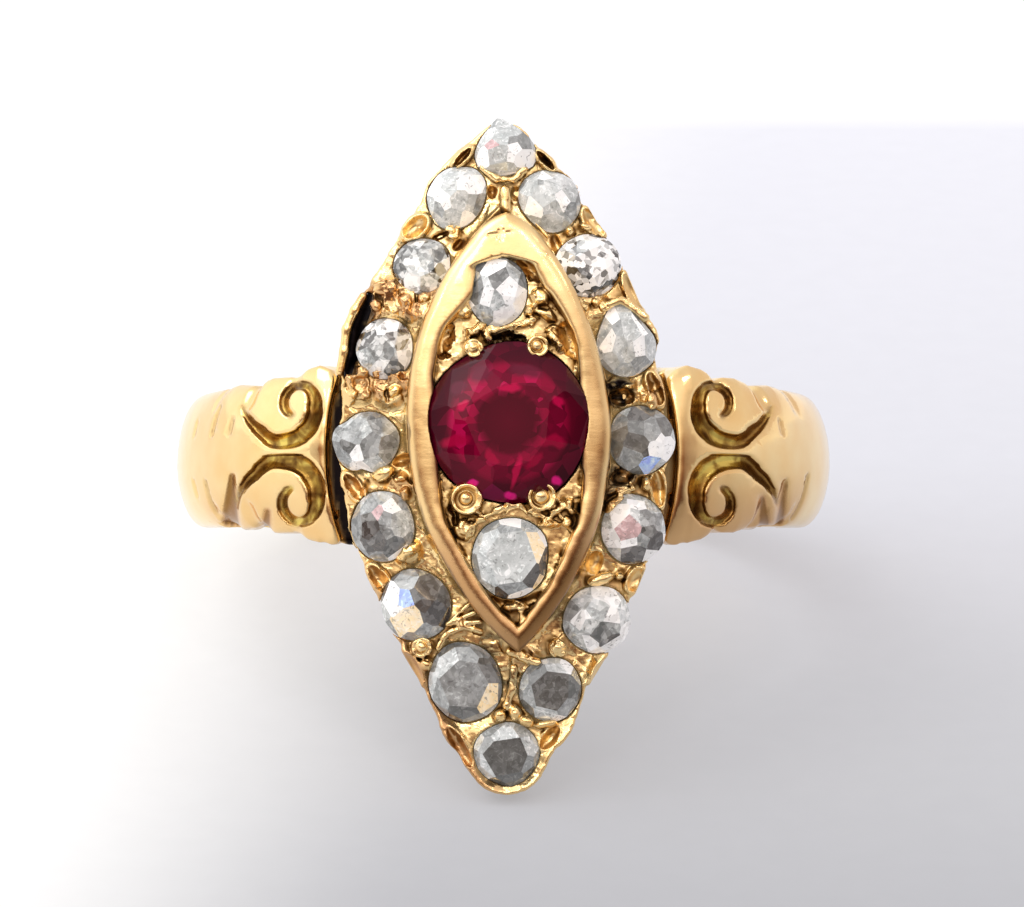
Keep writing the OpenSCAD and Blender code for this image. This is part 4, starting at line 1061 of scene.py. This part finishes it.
# Painted tones by letter: greys, tints and white for the diamonds' reflections, glints and shade, and reds
# for the ruby's flashes and sheen
TONES = {
    "w": (1.0, 1.0, 1.0), "l": (0.49, 0.515, 0.515), "m": (0.25, 0.262, 0.262), "g": (0.105, 0.108, 0.104),
    "d": (0.055, 0.048, 0.044), "k": (0.03, 0.02, 0.014), "b": (0.35, 0.5, 1.0), "p": (0.55, 0.33, 0.34),
    "c": (1.0, 0.8, 0.5), "s": (0.11, 0.009, 0.026), "r": (0.11, 0.001, 0.014), "R": (0.32, 0.002, 0.035),
    "x": (0.07, 0.001, 0.008), "M": (0.75, 0.01, 0.22), "F": (0.5, 0.003, 0.06),
}


def clipped(faces, normal, offset, tone):
    """A convex body's faces, cut off by a plane and closed with a new one.

    Each face is its corners and its tone.
    """
    kept, rim = [], []
    for corners, old in faces:
        side = corners @ normal - offset
        ends = np.roll(corners, -1, 0)
        new = []
        for a, b, sa, sb in zip(corners, ends, side, np.roll(side, -1)):
            if sa <= 0:
                new.append(a)
            if (sa <= 0) != (sb <= 0):
                new.append(a + (b - a) * sa / (sa - sb))
                rim.append(new[-1])
        if len(new) > 2:
            kept.append((np.array(new), old))
    if len(rim) > 2:
        rim = np.array(rim)
        middle = rim.mean(0)
        across = np.cross(normal, (1, 0, 0) if abs(normal[0]) < 0.7 else (0, 1, 0))
        across /= np.linalg.norm(across)
        other = np.cross(normal, across)
        rim = rim[np.argsort(np.arctan2((rim - middle) @ other, (rim - middle) @ across))]
        kept.append((rim, tone))
    return kept


# Height of a stone's body before its facets are cut, in half widths, and how near corners are one
ROUGH_TOP, SAME_POINT = 0.72, 0.002


def cut_stone(stone, seed, material):
    """A closed cut stone: an outline with a tapered base, cut off by one plane for each facet."""
    rng = np.random.default_rng(seed)
    cut, half = stone.cut, stone.half
    looks = PAINTED_FACET_TONES[stone.name]
    girdle = stone.outline()
    n = len(girdle)
    top = ROUGH_TOP * half
    levels = [np.column_stack([girdle * share, np.full(n, z)]) for share, z in (
        (cut["base"], -GIRDLE_T - cut["deep"] * 2 * half), (1, -GIRDLE_T), (1, top))]
    faces = [(levels[0], "g"), (levels[2][::-1], "m")]
    for low, high in zip(levels, levels[1:]):
        for k in range(n):
            j = (k + 1) % n
            faces.append((np.array([low[k], high[k], high[j], low[j]]), "m"))
    scale = np.array([stone.size[0] / 2, stone.size[1] / 2, half])
    flat = girdle / np.array([stone.size[0] / 2, stone.size[1] / 2])
    for (count, r0, z0, r1, z1), (start, tones) in reversed(list(zip(cut["rings"], looks[1:-1]))):
        for k in range(count):
            t = math.radians(start + 360 * k / count + rng.uniform(-0.2, 0.2) * 360 / count) + stone.turn
            rise = (z0 - z1) * rng.uniform(0.85, 1.2)
            # The lowest ring follows the worn outline
            reach = (flat @ np.array([math.sin(t), math.cos(t)])).max() if r1 == 1.0 else 1.0
            wide = (1 + math.cos(math.pi / count)) / 2 * reach
            normal = np.array([math.sin(t) * rise, math.cos(t) * rise, (r1 - r0) * wide])
            offset = rise * r1 * wide + (r1 - r0) * wide * (z1 + rng.uniform(-0.035, 0.035))
            normal = normal / scale
            length = np.linalg.norm(normal)
            faces = clipped(faces, normal / length, offset / length, tones[k % len(tones)])
    if cut["table"]:
        faces = clipped(faces, np.array([0, 0, 1.0]), cut["table"] * half, looks[0])
    index, points, polygons, colours = {}, [], [], []
    for corners, tone in faces:
        polygon = []
        for corner in corners:
            key = tuple(np.round(corner / SAME_POINT).astype(int))
            if key not in index:
                index[key] = len(points)
                points.append(corner)
            if index[key] not in polygon:
                polygon.append(index[key])
        if len(polygon) > 2:
            polygons.append(polygon)
            colours.append((*TONES[tone or "m"], looks[-1]))
    points = np.array(points)
    m = np.array(stone.matrix())
    made = solid(stone.name + "_cut", points @ m[:3, :3].T + m[:3, 3], polygons)
    made.data.materials.append(material)
    layer = made.data.attributes.new("facet", "FLOAT_COLOR", "FACE")
    layer.data.foreach_set("color", np.array(colours, np.float32).ravel())
    local = made.data.attributes.new("place", "FLOAT_VECTOR", "POINT")
    local_points = points / half if stone is ruby_stone else points / (stone.size[0] / 2) + seed
    local.data.foreach_set("vector", local_points.astype(np.float32).ravel())
    return made


# Camera at the photo's angle to the head
CAMERA_AWAY = 150 * MM
CAMERA_BELOW = math.radians(1.6)
PIXELS_PER_RADIAN = 5067
IMAGE_W, IMAGE_H = 1024, 907
HEAD_AT = (503.5, 452)
camera_data = bpy.data.cameras.new("camera")
camera_data.sensor_width = 36
camera_data.lens = PIXELS_PER_RADIAN / IMAGE_W * 36
camera_data.shift_x = (IMAGE_W / 2 - HEAD_AT[0]) / IMAGE_W
camera_data.shift_y = (HEAD_AT[1] - IMAGE_H / 2) / IMAGE_W
camera_data.clip_start = 0.01
camera = bpy.data.objects.new("camera", camera_data)
bpy.context.collection.objects.link(camera)
elevation = LEAN - CAMERA_BELOW
aim = LAID @ Vector((0, 0, CREST_Z))
camera.location = aim + CAMERA_AWAY * Vector((0, -math.cos(elevation), math.sin(elevation)))
camera.rotation_euler = (math.pi / 2 - elevation, 0, 0)
bpy.context.scene.camera = camera

gold_smooth = gold("polished_gold", 0.12, 0.03)
gold_worn = gold("worn_gold", 0.2, 0.1)
gold_chewed = gold("chiselled_gold", 0.2, 0.22)
for piece, material in ((band(), gold_smooth), (head_plate(), gold_chewed), (bezel(), gold_worn),
                        (gallery(), gold_smooth)):
    piece.data.materials.append(material)
    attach(piece, "root")
    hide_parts("gold_mount")

clear = diamond()
red = ruby()
for number, stone in enumerate(rim_stones + inner_stones + [ruby_stone]):
    is_ruby = stone is ruby_stone
    piece = cut_stone(stone, 100 + number, red if is_ruby else clear)
    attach(piece, "root")
    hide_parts(stone.name)

# A sheet of paper with painted shade that darkens it from the upper left to the lower right of the picture
FLOOR = bpy.data.meshes.new("floor")
FLOOR.from_pydata([(-2, -1, 0), (2, -1, 0), (2, 3, 0), (-2, 3, 0)], [], [(0, 1, 2, 3)])
floor = bpy.data.objects.new("floor", FLOOR)
bpy.context.collection.objects.link(floor)
paper, tree, bsdf = shader("paper")
space = node(tree, "ShaderNodeTexCoord").outputs["Object"]
parts = node(tree, "ShaderNodeSeparateXYZ", {"Vector": space})
leaning = maths(tree, "MULTIPLY_ADD", parts.outputs["Y"], -0.2, parts.outputs["X"])
right = spread(tree, leaning, -0.0135, 0.0015, interpolation_type="SMOOTHSTEP")
dim = ramp(tree, spread(tree, parts.outputs["Y"], -0.060, 0.060), [
    (0.0, (0.36, 0.355, 0.36)), (0.2, (0.41, 0.405, 0.41)), (0.35, (0.515, 0.52, 0.55)),
    (0.41, (0.575, 0.58, 0.61)), (0.47, (0.605, 0.61, 0.645)), (0.55, (0.69, 0.69, 0.735)),
    (0.625, (0.76, 0.765, 0.825)), (0.75, (0.805, 0.81, 0.875)), (0.91, (0.855, 0.86, 0.93)),
    (0.93, 1.0)])
shade = blended(tree, right, (1.0, 1.0, 1.0), dim)
fibre = ramp(tree, noise(tree, space, 900.0, 3.0), [(0.3, 0.985), (0.7, 1.0)])
shade = blended(tree, 1.0, shade, fibre, "MULTIPLY")
tree.links.new(blended(tree, 1.0, shade, (0.32, 0.32, 0.32), "MULTIPLY"), bsdf.inputs["Base Color"])
# Painted glow: the paper gives out light of its own tone, which softens the shadows
tree.links.new(shade, bsdf.inputs["Emission Color"])
bsdf.inputs["Emission Strength"].default_value = 0.61
bsdf.inputs["Roughness"].default_value = 0.8
bsdf.inputs["Specular IOR Level"].default_value = 0.2
FLOOR.materials.append(paper)


def softbox(name, place, size, power, colour=(1, 1, 1)):
    data = bpy.data.lights.new(name, "AREA")
    data.shape = "RECTANGLE"
    data.size, data.size_y = size
    data.energy = power
    data.color = colour
    made = bpy.data.objects.new(name, data)
    made.location = place
    made.rotation_euler = (aim - Vector(place)).to_track_quat("-Z", "Y").to_euler()
    bpy.context.collection.objects.link(made)


softbox("key", (-0.20, 0.04, 0.36), (0.26, 0.26), 0.5)
softbox("window", (-0.10, -0.25, 0.30), (0.07, 0.07), 0.12, (0.97, 0.98, 1.0))
for place in ((0.10, -0.22, 0.30), (0.0, -0.12, 0.42), (0.24, -0.03, 0.24), (-0.26, -0.10, 0.20)):
    softbox("glint", place, (0.03, 0.03), 0.04)


def room_light():
    """A pale room: bright above and behind, brown and dim low in front of the ring."""
    world = bpy.data.worlds.new("room")
    world.use_nodes = True
    tree = world.node_tree
    background = tree.nodes["Background"]
    way = node(tree, "ShaderNodeTexCoord").outputs["Generated"]
    parts = node(tree, "ShaderNodeSeparateXYZ", {"Vector": way})
    up, across = parts.outputs["Z"], parts.outputs["X"]
    back = ramp(tree, up, [(0.0, 0.64), (0.4, 0.60), (0.8, 0.64)])
    front = ramp(tree, up, [
        (0.04, (0.06, 0.025, 0.015)), (0.20, (0.16, 0.08, 0.05)), (0.31, (0.32, 0.23, 0.18)),
        (0.42, (0.60, 0.54, 0.48)), (0.56, (0.95, 0.92, 0.90)), (0.8, 1.0)])
    toward = spread(tree, parts.outputs["Y"], 0.1, -0.6, interpolation_type="SMOOTHSTEP")
    sky = blended(tree, toward, back, front)
    tint = ramp(tree, spread(tree, across, -1.0, 1.0), [
        (0.1, 1.0), (0.45, 0.76), (0.65, (0.62, 0.57, 0.56)), (0.9, (0.62, 0.56, 0.55))])
    tree.links.new(vector_maths(tree, "MULTIPLY", sky, tint), background.inputs["Color"])
    background.inputs["Strength"].default_value = 2.15
    bpy.context.scene.world = world


room_light()
bpy.context.scene.view_settings.view_transform = "Standard"
